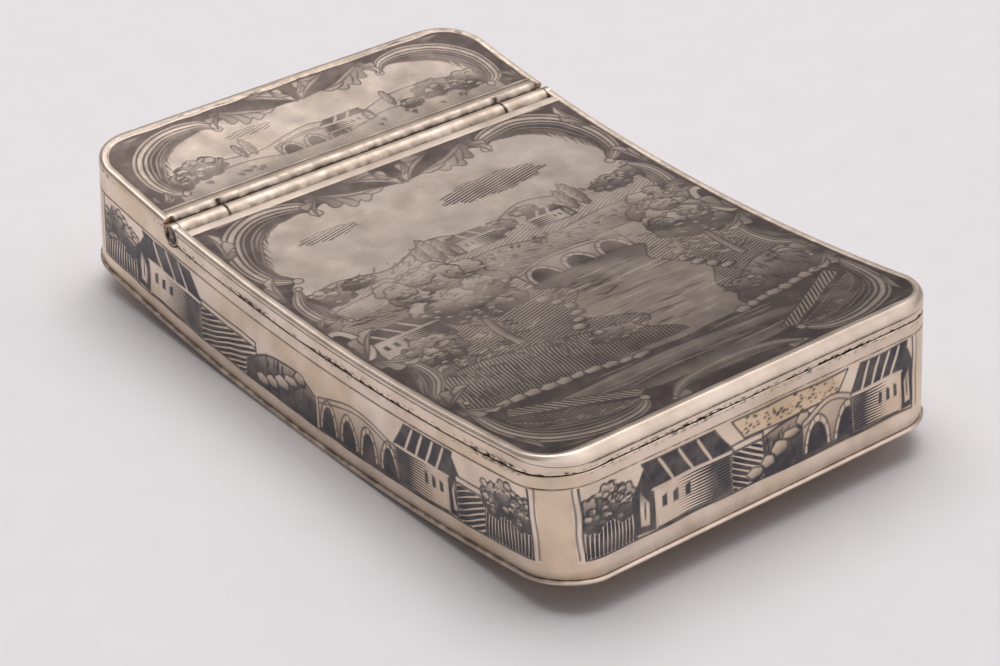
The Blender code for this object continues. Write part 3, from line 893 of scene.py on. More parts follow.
def poplar(niello, x, y, height):
    """A tall narrow tree, dark down its right side."""
    outline = lobed(x, y + height / 2, 0.16 * height, height / 2, 9)
    niello.fill(outline, (0.05, 0.5, 0.95), toward=-10, edge=0.18)
    for low in y + height * np.array([0.1, 0.3, 0.5, 0.7]):
        branch = bow((x - 0.03 * height, low), (x + 0.1 * height, low + 0.14 * height), 0.2, 5)
        niello.line(branch, 0.16, 0.9)


def cottage(niello, x, y, width, height, facing=1, seams=3, windows=3):
    """A low house: a dark roof with pale seams, a dark gable end and a wall that fades into the dark."""
    roof = 0.72 * height
    gable = 0.28 * width

    def wall(*points):
        """Places on the long wall, from its near foot, as shares of its width and height."""
        return np.array([x, y]) + np.array(points) * (facing * width, height)

    def end(*points):
        """Places on the gable end, from the same foot, as shares of its width and the wall's height."""
        return np.array([x, y]) + np.array(points) * (facing * gable, height)

    niello.fill(wall((0, 0), (1, 0), (1, 1), (0, 1)), 0.0, (0.0, 0.05, 0.5, 1.0, 1.0), 0, 0.34,
                0 if facing > 0 else 180, 0.24)
    niello.fill(end((-1, 0.05), (0, 0), (0, 1), (-0.45, 1.54), (-1, 1)), 0.97, edge=0.2)
    niello.fill(end((-0.72, 0.2), (-0.34, 0.16), (-0.3, 0.7), (-0.66, 1.1)), (0.1, 0.05, 0.9), toward=90)
    niello.line(end((-0.52, 0.3), (-0.46, 0.8)), 0.24, 0.95)
    eaves, ridge = wall((0, 1), (1, 1)), wall((0, 1), (1, 1)) + (0, roof)
    lean = np.array([facing * gable, 0])
    tiles = [eaves[0], eaves[1] + 0.1 * lean, ridge[1] - 0.7 * lean, ridge[0] - 0.5 * lean]
    niello.fill(tiles, 0.97, edge=0.2)
    for share in np.arange(1, seams + 1) / (seams + 1):
        foot = eaves[0] + share * (eaves[1] - eaves[0])
        niello.line([foot + (0, 0.05 * roof), foot + (0, 0.95 * roof) - 0.6 * lean], 0.34, 0.05, 0.1)
    niello.line([eaves[0] - 0.1 * lean, eaves[1]], 0.34, 0.05, 0.1)
    niello.line(wall((0, 0), (0, 1)), 0.28, 0.05, 0.1)
    for left in 0.08 + 0.15 * np.arange(windows):
        niello.fill(wall((left, 0.45), (left + 0.07, 0.45), (left + 0.07, 0.78), (left, 0.72)), 0.95)


def bridge(niello, x, y, width, height, arches=3):
    """A stone bridge: dark round arches under a pale parapet with its joints."""
    deck = smooth([(x, y + 0.7 * height), (x + width / 2, y + height), (x + width, y + 0.7 * height)])
    niello.fill(np.vstack([[(x, y)], deck, [(x + width, y)]]), (0.75, 0.3, 0.08), toward=90, edge=0.2)
    for k in range(arches):
        span = width / arches
        centre = x + span * (k + 0.5)
        niello.fill(arc(centre, y, 0.44 * span, 0.74 * height, 0, 180), 0.08, edge=0.2)
        niello.fill(arc(centre, y, 0.34 * span, 0.6 * height, 0, 180), 0.97)
        for turn in range(15, 180, 30):
            spoke = np.array([math.cos(math.radians(turn)), math.sin(math.radians(turn))])
            reach = np.array([(0.34 * span, 0.6 * height), (0.44 * span, 0.74 * height)])
            niello.line((centre, y) + spoke * reach, 0.16, 0.85, 0.0)
    niello.line(beside(deck, -0.12 * height), 0.2, 0.9, 0.0)


def stones(niello, points, size, seed):
    """A row of rounded stones along a line, pale, with a dark foot to each."""
    random = np.random.default_rng(seed)
    path = smooth(points, steps=40)
    run = run_along(path)
    places = np.arange(size, run[-1], 1.75 * size)
    for x, y in np.stack([np.interp(places, run, path[:, 0]), np.interp(places, run, path[:, 1])], 1):
        across, up = size * random.uniform(0.75, 1.1), size * random.uniform(0.45, 0.75)
        niello.line(arc(x + 0.1, y - 0.25 * up, across, up, 190, 370), 0.4, 0.97)
        niello.fill(lobed(x, y, across, up, 5, random.uniform(0, 3)), (0.8, 0.25, 0.0), toward=110, edge=0.2)


def tufts(niello, x, y, across, up, count, seed, size=1.1, ink=0.92):
    """Tufts of grass over an ellipse: short bows that fan out."""
    random = np.random.default_rng(seed)
    for a, b, lean in random.uniform(-1, 1, (count, 3)):
        root = np.array([x + across * a, y + up * b])
        for k in (-0.6, -0.25, 0.1, 0.5):
            tip = root + size * np.array([0.5 * lean + k, 1.0 - 0.4 * abs(k)])
            niello.line(bow(root, tip, 0.15 * k, 5), 0.19, ink, 0.6)


def ripples(niello, x, y, across, up, count, seed, ink=0.05):
    """Ripples over an ellipse: short level strokes, pale on dark water."""
    random = np.random.default_rng(seed)
    for a, b, long in random.uniform(-1, 1, (count, 3)):
        reach = across * 0.14 * (1.6 + long) * math.sqrt(1 - b * b) + 0.5
        middle = np.array([x + across * a * math.sqrt(1 - b * b), y + up * b])
        niello.line(bow(middle - (reach, 0), middle + (reach, 0.1 * long), 0.04 * long, 6), 0.2, ink, 0.6)


def strokes(niello, x, y, across, up, count, seed, lean=0.0, length=2.0, ink=0.9):
    """Free strokes over an ellipse, near one slant in degrees: the shading of rough ground."""
    random = np.random.default_rng(seed)
    for a, b, turn, long in random.uniform(-1, 1, (count, 4)):
        angle = math.radians(lean + 16 * turn)
        half = length * (0.6 + 0.35 * long) / 2 * np.array([math.cos(angle), math.sin(angle)])
        middle = np.array([x + across * a * math.sqrt(1 - b * b), y + up * b])
        niello.line(bow(middle - half, middle + half, 0.12 * turn, 6), 0.2 + 0.07 * long, ink, 0.7)


def hatched_cloud(niello, x, y, across, up, hatch=0.55, seed=1):
    """A cloud: slanting lines under a lobed upper edge."""
    outline = lobed(x, y, across, up, 9, seed)
    niello.fill(outline, 0.0, (hatch, 0.9 * hatch, 0.3 * hatch), 12, 0.4, 90)
    upper = lobed(x, y, across * 0.98, up, 9, seed)[:22]
    niello.line(upper, 0.18, 0.7, 0.5)


def slope_down(niello, crest, foot, ink, edge=0.24, hatch=None, angle=0.0):
    """Ground below a crest down to a level foot, shaded from the first ink at its foot to the last."""
    crest = smooth(crest)
    niello.fill(np.vstack([crest, [(crest[-1, 0], foot), (crest[0, 0], foot)]]), ink, hatch, angle, 0.42, 90)
    if edge:
        niello.line(crest, edge, 0.95, 0.2)


def plate_half_width(s, toward, inset):
    """Half the width of a plate, set in from the wall, at a station: full, then round the corner."""
    box = shape()
    radius = box.corner_radius - inset
    centre = box.length / 2 - box.corner_radius
    past = np.clip((toward * s - centre) / radius, 0, 1)
    return box.width / 2 - box.corner_radius + radius * np.sqrt(1 - past ** 2)


def plate_rows(start, toward, inset):
    """Stations of a plate's rows, from its straight edge to its rounded end, closer together there."""
    box = shape()
    radius = box.corner_radius - inset
    centre = toward * (box.length / 2 - box.corner_radius)
    straight = np.linspace(start, centre, int(abs(centre - start) / (CELL * MM)))
    angle = np.linspace(0, math.pi / 2, int(1.35 * radius / (CELL * MM)))[1:]
    return np.concatenate([straight, centre + toward * radius * np.sin(angle)])


def picture_plate(name, start, toward, draw, body, node, tiles):
    """A top plate with its picture: rows along the box, each as wide as the plate is there."""
    box = shape()
    rows = plate_rows(start, toward, PLATE_INSET)
    half = plate_half_width(rows, toward, PLATE_INSET)
    columns = np.linspace(-1, 1, int((box.width - 2 * PLATE_INSET) / (CELL * MM)))
    x = half[:, None] * columns
    s = np.broadcast_to(rows[:, None], x.shape)
    niello = Niello(x / MM, s / MM, len(name))
    draw(niello)
    sunk = box.depth - INLAY_DEPTH * niello.ink.reshape(x.shape)
    top = bend(x, s, sunk)
    low = bend(half[:, None] * np.array([-1.0, 1.0]), rows[:, None], np.array(box.depth - box.plate))
    cuts = np.linspace(0, len(rows) - 1, tiles + 1).astype(int)
    layers = niello.layers(x.shape)
    for number, (first, last) in enumerate(zip(cuts[:-1], cuts[1:])):
        part = slice(first, last + 1)
        inlaid_plate(f"{name}_{number + 1}" if tiles > 1 else name, top[part], low[part],
                     ["nielloed plate", "gilding"], body, "niello_plate", node,
                     **{key: values[part] for key, values in layers.items()})


def mirrored(points):
    """A closed outline from its right half, listed from the foot of the middle line to its head."""
    right = np.asarray(points, float)
    return smooth(np.vstack([right, right[::-1] * MIRROR]), closed=True)


def rounded_field(half_width, low, high, radius):
    """A field's outline: a rectangle with two rounded corners, at its low end when radius is over 0."""
    end, turn = (low, 1) if radius > 0 else (high, -1)
    size = abs(radius)
    corner = arc(half_width - size, end + turn * size, size, turn * size, 0, -90)
    far = high if radius > 0 else low
    return np.vstack([[(half_width, far)], corner, corner[::-1] * MIRROR, [(-half_width, far)]])


def scrolls(niello, side, bands):
    """C-scrolls on one side of the middle: the points, width, outer side, shade and seed of each."""
    for points, width, outer, shade, seed in bands:
        scroll(niello, np.multiply(points, (side, 1.0)), width, outer * side, shade, seed)


def leaves(niello, side, plan):
    """Leaves on one side of the middle: the root, tip, bulge and lobes of each, 0 for a plain leaf."""
    for root, tip, bulge, lobes in plan:
        root, tip = np.multiply(root, (side, 1.0)), np.multiply(tip, (side, 1.0))
        if lobes:
            acanthus(niello, root, tip, bulge * side, lobes)
        else:
            leaf(niello, root, tip, bulge * side)


def draw_lid(niello):
    """The lid: a river landscape under an open sky, in a frame of rococo scrolls and leaves."""
    hatched_cloud(niello, 8, 10.5, 7.5, 2.0, 0.75, 2)
    hatched_cloud(niello, -14, 12.6, 4.0, 1.0, 0.5, 3)
    slope_down(niello, [(-27, 1), (-20, 4), (-13, 2.6), (-6, 5), (1, 3), (8, 5.4), (16, 3), (27, 5)], -41,
               (0.2, 0.2, 0.2, 0.2, 0.2, 0.14, 0.04), 0.24, (0.35, 0.35, 0.35, 0.35, 0.3, 0.1), 24)
    strokes(niello, -10, 2.0, 15, 1.8, 60, 31, 52, 1.8, 0.8)
    strokes(niello, 14, 2.0, 12, 1.8, 50, 32, 128, 1.8, 0.8)
    for x, y, across, seed in ((-22, 1.6, 3.4, 61), (-17.4, 2.4, 2.2, 62), (2.4, 2.4, 2.4, 63),
                               (19.4, 2.6, 3.0, 64), (23.4, 3.4, 2.4, 65), (7.0, 3.6, 1.8, 66)):
        crown(niello, x, y, across, 0.55 * across, seed)
    for x, height in ((-8.6, 4.2), (-6.9, 5.2), (-5.4, 4.4), (12.6, 4.6), (14.2, 5.6)):
        poplar(niello, x, 0.4, height)
    cottage(niello, -3.6, 0.2, 5.4, 2.2, 1, 2)
    cottage(niello, 10.4, -0.6, 4.4, 2.0, -1, 2, 2)
    slope_down(niello, [(-27, -2), (-18, -0.4), (-10, -2), (-2, -1), (6, -2.4), (15, -1.4), (27, -3)], -41,
               (0.3, 0.3, 0.3, 0.3, 0.35, 0.4, 0.1), 0.24, (0.4, 0.4, 0.4, 0.4, 0.45, 0.15), -18)
    strokes(niello, 0, -4.4, 24, 2.2, 130, 33, -14, 2.2, 0.95)
    strokes(niello, -4, -3.4, 18, 1.2, 40, 71, 24, 1.6, 0.05)
    tufts(niello, 4, -3.6, 20, 1.4, 40, 4, 0.9)
    slope_down(niello, [(-27, -8), (-12, -6.2), (-3, -7.6), (4, -7), (13, -5.8), (27, -8)], -41,
               (0.5, 0.5, 0.5, 0.5, 0.35, 0.1), 0.24, (0.5, 0.5, 0.5, 0.5, 0.4, 0.1), 14)
    strokes(niello, 0, -10, 25, 2.8, 150, 34, 10, 2.2, 0.97)
    strokes(niello, -8, -9, 18, 1.6, 40, 72, -30, 1.6, 0.05)
    bridge(niello, -3, -10.4, 15, 4.6, 3)
    river = [(-3, -10.4), (12, -10.4), (11, -14), (15, -19), (12, -25), (20, -30), (-6, -30), (2, -24),
             (-4, -19), (0, -14)]
    niello.fill(smooth(river, closed=True), (0.6, 0.35, 0.5, 0.85), toward=90, edge=0.24)
    strokes(niello, 3, -14, 7, 3, 50, 42, 4, 3.0, 0.97)
    ripples(niello, 5, -20, 8, 8, 30, 6, 0.04)
    ripples(niello, 5, -19, 8, 8, 26, 36, 0.95)
    for side, start in ((-1, (-4.5, -12.5)), (1, (15.5, -12.5))):
        stones(niello, [start, (start[0] - 1.5 * side, -17), (start[0] + 1.5 * side, -22)], 0.95, 8 + side)
    cottage(niello, -24.5, -12.8, 9, 3.4, 1, 3)
    strokes(niello, -17, -16, 9, 3.4, 130, 37, -30, 2.0, 0.97)
    strokes(niello, 19, -15, 7, 3.8, 110, 43, 35, 2.0, 0.97)
    strokes(niello, -16, -17, 9, 2.4, 40, 73, 20, 1.6, 0.05)
    strokes(niello, 18, -16, 7, 2.6, 40, 74, -20, 1.6, 0.05)
    tree(niello, -12, -19.5, 19, 6.8, 5)
    tree(niello, 19.6, -20, 17.5, 5.6, 8)
    tree(niello, -20.5, -21, 9, 3.6, 3)
    slope_down(niello, [(-27, -21), (-20, -19.5), (-12, -20.6), (-4, -23), (1, -26.5), (3, -28.6)], -29.4,
               (0.7, 0.5, 0.3), 0.3, (0.8, 0.6, 0.4), 78)
    strokes(niello, -15, -24.6, 11, 3.2, 60, 38, 86, 2.6, 0.97)
    slope_down(niello, [(11, -28.4), (14, -25), (19, -22), (27, -21)], -29.4, (0.95, 0.75, 0.3), 0.3)
    strokes(niello, 21, -25, 6, 2.8, 44, 39, 98, 2.4, 0.97)
    tufts(niello, -15, -22, 9, 1.4, 22, 9)
    tufts(niello, 20, -23.6, 5, 1.2, 12, 10)
    crown(niello, -3.4, -24.6, 3.2, 1.8, 12)
    crown(niello, 14.4, -25.8, 2.6, 1.5, 13)
    slope_down(niello, [(-27, -28.6), (-12, -29.6), (0, -30.6), (12, -29.8), (27, -28.8)], -42,
               (0.97, 0.97, 0.9, 0.97), 0.3)
    stones(niello, [(-23, -28.4), (-12, -29.2), (-4, -30.4)], 1.1, 14)
    stones(niello, [(9, -30.2), (16, -29.4), (23, -28.6)], 1.0, 15)
    water = [(-19, -32.6), (-4, -31.6), (10, -32.8), (19, -34.6), (4, -34.0), (-12, -34.4)]
    niello.fill(smooth(water, closed=True), (0.85, 0.55), toward=90)
    bank = [(-12, -35.4), (2, -35), (13, -36), (6, -37.4), (-7, -37.2)]
    niello.fill(smooth(bank, closed=True), (0.6, 0.95), toward=90)
    ripples(niello, 0, -33.8, 20, 3.0, 16, 16, 0.45)
    for side in (-1, 1):
        wedge = np.array([(22.5, -29.5), (23.5, -31.0), (11, -37.4), (9.5, -36.4)]) * (side, 1)
        niello.fill(wedge, 0.3, 0.55, 60 * side, 0.5, edge=0.24)
        corner = np.array([(24.5, -31.5), (24, -37), (14, -39.6), (11.5, -37.8)]) * (side, 1)
        niello.fill(corner, 0.0, (1.0, 0.8), 0, 0.4, 0)

    niello.surround(mirrored([
        (0, -37.4), (5, -37.9), (8.6, -39.6), (10.6, -38.6), (13, -39.4), (19.4, -38.8), (23.4, -35.6),
        (24.4, -30), (25.6, -27.2), (24.2, -23), (23.4, -18), (24.9, -13.4), (24.0, -8), (24.8, -4),
        (23.2, 1), (24.2, 5), (22.6, 7), (24, 10), (23.4, 14), (20.4, 17.4), (16, 18.7), (12.6, 17.5),
        (10.4, 18.3), (6, 17.4), (0, 16.8),
    ]), 0.97)
    for side in (-1, 1):
        scrolls(niello, side, (
            ([(12.2, 17.0), (13.8, 19.1), (18.8, 19.8), (23.2, 17.6), (25.1, 13.0), (24.7, 8.8), (22.6, 6.6)],
             3.2, 1, 0.6, 51),
            ([(25.4, -27.0), (25.0, -33), (23.0, -37.2), (18.6, -39.4), (13.8, -39.6), (11.0, -38.0)],
             3.2, 1, 0.5, 52),
            ([(23.5, 5.2), (25.0, 2.2), (24.7, -1.6), (22.8, -3.4)], 2.2, 1, 0.4, 53),
            ([(25.6, -12.6), (23.6, -15.6), (24.0, -19.6), (25.9, -22.4), (24.4, -25.6)], 2.0, -1, 0.5, 54),
        ))
        niello.fill(arc(side * 26.0, -7.9, 1.9, 3.8), 0.03, edge=0.24)
        niello.fill(arc(side * 26.2, -7.9, 1.2, 2.9), 0.97)
        leaves(niello, side, (
            ((26.0, 3.6), (24.2, 9.0), -0.3, 3),
            ((26.4, -11.4), (21.8, -6.2), -0.26, 3),
            ((26.4, -11.8), (21.6, -14.6), 0.3, 3),
            ((26.2, -25.4), (21.6, -22.6), -0.3, 3),
            ((26.3, -25.8), (22.0, -28.6), 0.3, 3),
            ((11.4, 20.4), (2.6, 17.3), 0.24, 5),
            ((6.4, 20.6), (0.3, 16.6), -0.28, 4),
            ((10.6, 19.8), (12.6, 16.2), 0.34, 3),
            ((2.4, 20.6), (0.4, 18.2), 0.3, 0),
            ((10.2, -40.9), (7.0, -37.8), 0.34, 3),
            ((26.5, 14.4), (25.4, 20.6), 0.22, 3),
            ((19.0, 20.9), (24.6, 20.6), 0.14, 0),
            ((26.4, -34.6), (25.0, -39.2), -0.2, 0),
            ((19.4, -40.8), (23.6, -40.2), -0.14, 0),
        ))
        spray(niello, (side * 26.4, -3.4), 90 + side * 70, 3.4, 3, 60)
    scroll(niello, [(-9.2, -40.5), (-6.0, -38.7), (0, -37.9), (6.0, -38.7), (9.2, -40.5)], 1.8, 1, 0.3, 55)
    niello.rub(24, -24, 18, 91, 0.62)
    wide, far, radius = LID_FIELD
    niello.surround(rounded_field(wide, -far, LID_EDGE, radius), 0.0)
    niello.line(rounded_field(wide - 0.15, 0.15 - far, LID_EDGE - 0.15, radius), 0.3, 0.97, 0.0)


def draw_deck(niello):
    """The deck: a low shore with trees, in the same frame."""
    hatched_cloud(niello, -9, 35.4, 3.4, 0.7, 0.35, 5)
    crest = [(-25, 31.2), (-18, 32.6), (-11, 31.4), (-3, 33.0), (4, 31.8), (12, 33.4), (25, 31.4)]
    slope_down(niello, crest, 26.3, (0.4, 0.25, 0.1))
    strokes(niello, 2, 31.2, 16, 1.0, 26, 41, 30, 1.6, 0.7)
    for x, height in ((-12.4, 3.0), (-11.0, 3.6), (9.4, 3.4)):
        poplar(niello, x, 31.0, height)
    bridge(niello, -8.4, 29.0, 10, 3.0, 3)
    slope_down(niello, [(-25, 29.6), (-14, 30.4), (-8, 29.2)], 26.3, (0.75, 0.15))
    slope_down(niello, [(1.4, 29.2), (8, 30.6), (15, 30.0), (25, 30.6)], 26.3, (0.7, 0.15))
    cottage(niello, 4.4, 29.9, 5.6, 1.7, -1, 2, 2)
    for x, y, across, up, seed in ((-18.4, 31.8, 3.4, 2.0, 22), (-22.0, 30.6, 2.2, 1.6, 23),
                                   (15.6, 31.6, 2.8, 1.8, 24), (20.6, 31.0, 2.8, 2.0, 25),
                                   (11.4, 30.2, 1.5, 1.0, 26)):
        crown(niello, x, y, across, up, seed)
    niello.fill([(-8.4, 29.0), (1.6, 29.0), (6, 26.3), (-13, 26.3)], (0.75, 0.3), toward=90)
    tufts(niello, -17, 28.2, 6, 0.5, 9, 27, 0.9)
    tufts(niello, 13, 28.4, 8, 0.5, 12, 28, 0.9)
    niello.surround(mirrored([(0, 24), (12, 24), (22.6, 24.6), (23.4, 29), (23.9, 33), (22.4, 37.2),
                              (17.4, 39.2), (13.0, 38.4), (9.4, 39.1), (4.4, 38.1), (0, 37.7)]), 0.95)
    for side in (-1, 1):
        scrolls(niello, side, (
            ([(12.0, 37.6), (13.8, 39.3), (18.6, 39.3), (22.8, 36.8), (24.2, 33.0), (23.8, 30.2),
              (22.4, 28.6)], 2.8, 1, 0.5, 56),
        ))
        leaves(niello, side, (
            ((11.2, 40.9), (3.4, 38.0), 0.24, 5),
            ((6.2, 41.2), (0.4, 37.6), -0.28, 4),
            ((10.0, 40.4), (12.0, 37.4), 0.32, 3),
            ((2.4, 41.2), (0.3, 39.0), 0.3, 0),
        ))
        spray(niello, (side * 25.9, 28.0), 90 + side * 30, 2.6, 3, 70)
        spray(niello, (side * 20.4, 41.2), 90 - side * 84, 4.0, 2, 24, 0.2)
    niello.rub(24, 25, 40, 92)
    wide, far, radius = DECK_FIELD
    niello.surround(rounded_field(wide, DECK_EDGE, far, -radius), 0.0)
    niello.line(rounded_field(wide - 0.15, DECK_EDGE + 0.1, far - 0.12, -radius), 0.3, 0.97, 0.0)


def wall_panel(name, way, first, last, plan):
    """A picture laid into one wall, a hair proud of it: a grid of places along the wall and up it.

    way is the wall's outward direction in plan. The picture's own x runs to the right for someone who
    faces that wall, so it is a quarter turn on from the outward direction. Past the straight part of
    the wall, the picture runs on round the corner's arc.
    """
    box = shape()
    low, high = WALL_FIELD
    along = np.linspace(first, last, int((last - first) / CELL))
    up = np.linspace(low, high, int((high - low) / CELL))
    u, h = np.meshgrid(along, up, indexing="ij")
    niello = Niello(u, h, len(name))
    vista(niello, plan, low, len(name))
    head = high + 1
    left, right, foot = first + 0.85, last - 0.85, low + 0.15
    niello.surround([(left, foot), (right, foot), (right, head), (left, head)], 0.0)
    left, right, foot = first + 0.95, last - 0.95, low + 0.25
    niello.line([(left, head), (left, foot), (right, foot), (right, head)], 0.26, 0.97, 0.0)
    for edge in (first + 0.25, last - 0.25):
        niello.line([(edge, low + 0.4), (edge + 0.04, head)], 0.2, 0.85, 0.0)
    long, wide = box.length / 2 - box.corner_radius, box.width / 2 - box.corner_radius
    straight, out = (long, wide) if way[0] else (wide, long)

    def place(proud, along, height):
        """Points of the wall at places along it, some way out from its face."""
        reach = np.abs(along) * MM
        turn = np.clip(reach - straight, 0, None) / box.corner_radius
        radius = box.corner_radius + proud
        side = (way[0] - way[1]) * np.sign(along) * (np.minimum(reach, straight) + radius * np.sin(turn))
        face = out + radius * np.cos(turn)
        return bend(way[0] * face if way[0] else side, way[1] * face if way[1] else side, height * MM)

    top = place(PANEL_PROUD - INLAY_DEPTH * niello.ink.reshape(u.shape), u, h)
    back = place(-PANEL_DEPTH, u[:, [0, -1]], h[:, [0, -1]])
    worn = np.clip(0.9 * blotches(u, h, 61, 17) + 0.05, 0, 0.65)
    inlaid_plate(name, top, back, ["nielloed wall", "wall silver"], "body", "wall_silver", "body_wall",
                 worn=worn, gold=niello.gold.reshape(u.shape), **niello.layers(u.shape))


def specks(niello, x, y, across, up, count, seed):
    """Punched dots over a rectangle, at random."""
    random = np.random.default_rng(seed)
    for a, b, size in random.uniform(-1, 1, (count, 3)):
        radius = 0.13 + 0.09 * size
        niello.fill(arc(x + across * a, y + up * b, radius * (1 + 0.6 * size), 0.7 * radius), 0.9)


def vista(niello, plan, low, seed):
    """A vista along a wall: motifs side by side on one ground, each with its kind, place and width."""

    def block(left, right, foot, head):
        """The corners of a rectangle, whose foot and head are counted from the picture's foot."""
        return [(left, low + foot), (right, low + foot), (right, low + head), (left, low + head)]

    for number, (kind, at, width) in enumerate(plan):
        middle, right = at + width / 2, at + width
        if kind == "house":
            cottage(niello, at, low + 0.5, width, 4.6, 1)
        elif kind == "barn":
            cottage(niello, right, low + 0.5, width, 4.6, -1, 4, 3)
        elif kind == "bridge":
            niello.fill(block(at, right, 0, 0.8), 0.9)
            bridge(niello, at, low + 0.7, width, 5.6, max(2, round(width / 4)))
        elif kind == "field":
            slant = 24 if number % 2 else -28
            niello.fill(block(at, right, 0, 4.9), 0.0, (0.95, 0.6), slant, 0.64, 0, 0.24)
            niello.fill(block(at, right, 4.9, 5.7), 0.0, edge=0.26)
        elif kind == "bank":
            crest = [(at, low + 2.6), (at + 0.3 * width, low + 5.0), (at + 0.7 * width, low + 5.8),
                     (right, low + 4.4)]
            slope_down(niello, crest, low, (0.97, 0.9, 0.4), 0.3)
            count = int(5 * width)
            strokes(niello, middle, low + 2.8, 0.44 * width, 1.9, count, seed + number, 86, 2.2, 0.97)
        elif kind == "rocks":
            foot = [(at, low + 0.9), (at + 0.45 * width, low + 2.6), (right, low + 5.6)]
            stones(niello, foot, 1.15, seed + number)
        elif kind == "sky":
            field = [(at, low + 8.4), (right, low + 8.4), (right - 1.6, low + 5.9), (at + 1.6, low + 5.9)]
            niello.fill(field, 0.0, edge=0.24)
            niello.gild(field)
            specks(niello, middle, low + 7.2, width / 2 - 1.4, 1.1, int(width * 6), seed + number)
        elif kind == "grove":
            niello.fill(block(at, right, 0, 4.6), 0.0, (1.0, 0.8, 0.97), 86, 0.5, 90, 0.24)
            for k, rise in enumerate((5.2, 6.1, 5.2)):
                x = at + width * (0.2 + 0.3 * k)
                crown(niello, x, low + rise, width * 0.25, 2.1, seed + number + k)


# Operators

class SNUFFBOX_OT_base(bpy.types.Operator):
    """Makes the base with its bright lip, gilt inside"""

    bl_idname = "snuff_box.base"
    bl_label = "Base"

    def execute(self, context):
        box = shape()
        inner = 2.2 * MM           # inside this the base is closed by faces across it
        edge = 0.38 * box.base     # radius of the lip's rounded edge
        angle = np.linspace(-math.pi / 2, math.pi / 2, 11)
        inset = np.concatenate([[inner], edge - box.base_lip - edge * np.cos(angle), [inner]])
        height = np.concatenate([[0.0], edge + edge * np.sin(angle), [box.base]])
        route = closed_route()
        low = np.clip((inner - inset) / (0.5 * MM), 0, 1)
        grid = sweep(route, inset, height - sag(route[1]) * low)
        count, rows = grid.shape[:2]
        ids = np.arange(count * rows).reshape(count, rows)
        faces = grid_faces(np.vstack([ids, ids[:1]]))
        outside = cap_faces(ids[:, 0])
        inside = [face[::-1] for face in cap_faces(ids[:, -1])]
        last_row = np.nonzero(np.arange(len(faces)) % (rows - 1) == rows - 2)[0]
        gilt = np.concatenate([last_row, len(faces) + len(outside) + np.arange(len(inside))])
        seam = 0.5 * grime_near(height, [2 * edge], 0.12 * MM)
        # Painted shade: the lip is darker on its left and right sides, most at its foot
        sides = 0.5 * np.abs(route[1][:, :1]) * np.linspace(1, 0.6, rows) * (inset < 0.3 * MM)
        grime = np.clip(seam + sides, 0, 1)
        piece("base", grid, faces + outside + inside, ["wall silver", "gilding"], "body", "wall_silver",
              "base_plate", gilt, grime=grime)
        return {"FINISHED"}


class SNUFFBOX_OT_wall(bpy.types.Operator):
    """Makes the side wall, its engraved line and the flange inside it"""

    bl_idname = "snuff_box.wall"
    bl_label = "Wall"

    line_height = 11.16 * MM
    line_half = 0.11 * MM
    line_depth = 0.09 * MM

    def rim(self, s):
        """Height of the rim: low under the lid, round the tube's notch, high under the deck."""
        box = shape()
        gap = np.clip(1 - ((s - box.hinge_station) / box.tube_notch) ** 2, 0, None)
        notch = box.hinge_height - box.tube_notch * np.sqrt(gap)
        beside_tube = np.abs(s - box.hinge_station) < box.tube_notch
        level = np.where(s > box.hinge_station, box.groove - 0.05 * MM, box.rim)
        return np.where(beside_tube, np.minimum(notch, level), level)

    def execute(self, context):
        box = shape()
        route = closed_route()
        places = route[0]
        foot = 0.76 * box.base + 0.05 * MM
        line = self.line_height + self.line_half * np.array([-1.0, -0.3, 0.3, 1.0])
        plain = np.linspace(foot + 1.0 * MM, line[0] - 0.1 * MM, 8)
        low = np.concatenate([[foot, foot + 0.06 * MM], plain, line])
        # Rows from the line up to the rim, over it and a little down inside
        share = np.array([0.15, 0.35, 0.55, 0.7, 0.8, 0.88, 0.95, 1.0, 1.0, 0.85])
        inset_low = np.zeros_like(low)
        inset_low[0] = 0.04 * MM
        inset_low[-3:-1] = self.line_depth
        uneven = 0.02 * MM * smooth_noise(run_along(places), 31, 7 * MM)
        rim = (self.rim(places[:, 1]) + uneven)[:, None]
        high = line[-1] + (rim - line[-1]) * share
        inset_high = np.array([0, 0, 0, 0, 0, 0, 0, 0.06 * MM, box.wall, box.wall])
        each = np.ones((len(places), 1))
        height = np.hstack([each * low, high, each * foot])
        inset = np.concatenate([inset_low, inset_high, [box.wall]])
        grid = sweep(route, inset, height - sag(route[1]) * np.clip(1 - (height - foot) / MM, 0, 1))
        rows = grid.shape[1]
        near_rim = np.clip(1 - (rim - height) / (0.6 * MM), 0, 1)
        pits = near_rim * np.clip(3 * pitting(route, height, 33, 0.75), 0, 1)
        grime = grime_near(height, [self.line_height], 0.12 * MM) + 0.5 * grime_near(height, [foot], 0.1 * MM)
        swept_piece("wall", grid, True, ["wall silver", "gilding"], "body", "wall_silver", "body_wall",
                    [rows - 3, rows - 2], grime=np.clip(grime + pits, 0, 1), worn=corner_wear(route, 35))
        self.flange()
        return {"FINISHED"}

    def flange(self):
        """The gilt flange that the lid closes over."""
        box = shape()
        outer = box.wall + 0.3 * MM
        thick = 0.5 * MM
        top = box.rim + 0.9 * MM
        foot = top - 5.0 * MM
        route = open_route(-1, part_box("inner_bezel")[1].y)
        inset = outer + np.array([0.0, 0.0, 0.12 * MM, thick - 0.12 * MM, thick, thick])
        height = np.array([foot, top - 0.12 * MM, top, top, top - 0.12 * MM, foot])
        grid = sweep(route, inset, height)
        swept_piece("flange", grid, False, ["gilding"], "body", "gilt_inside", "inner_bezel", grime=0.0)


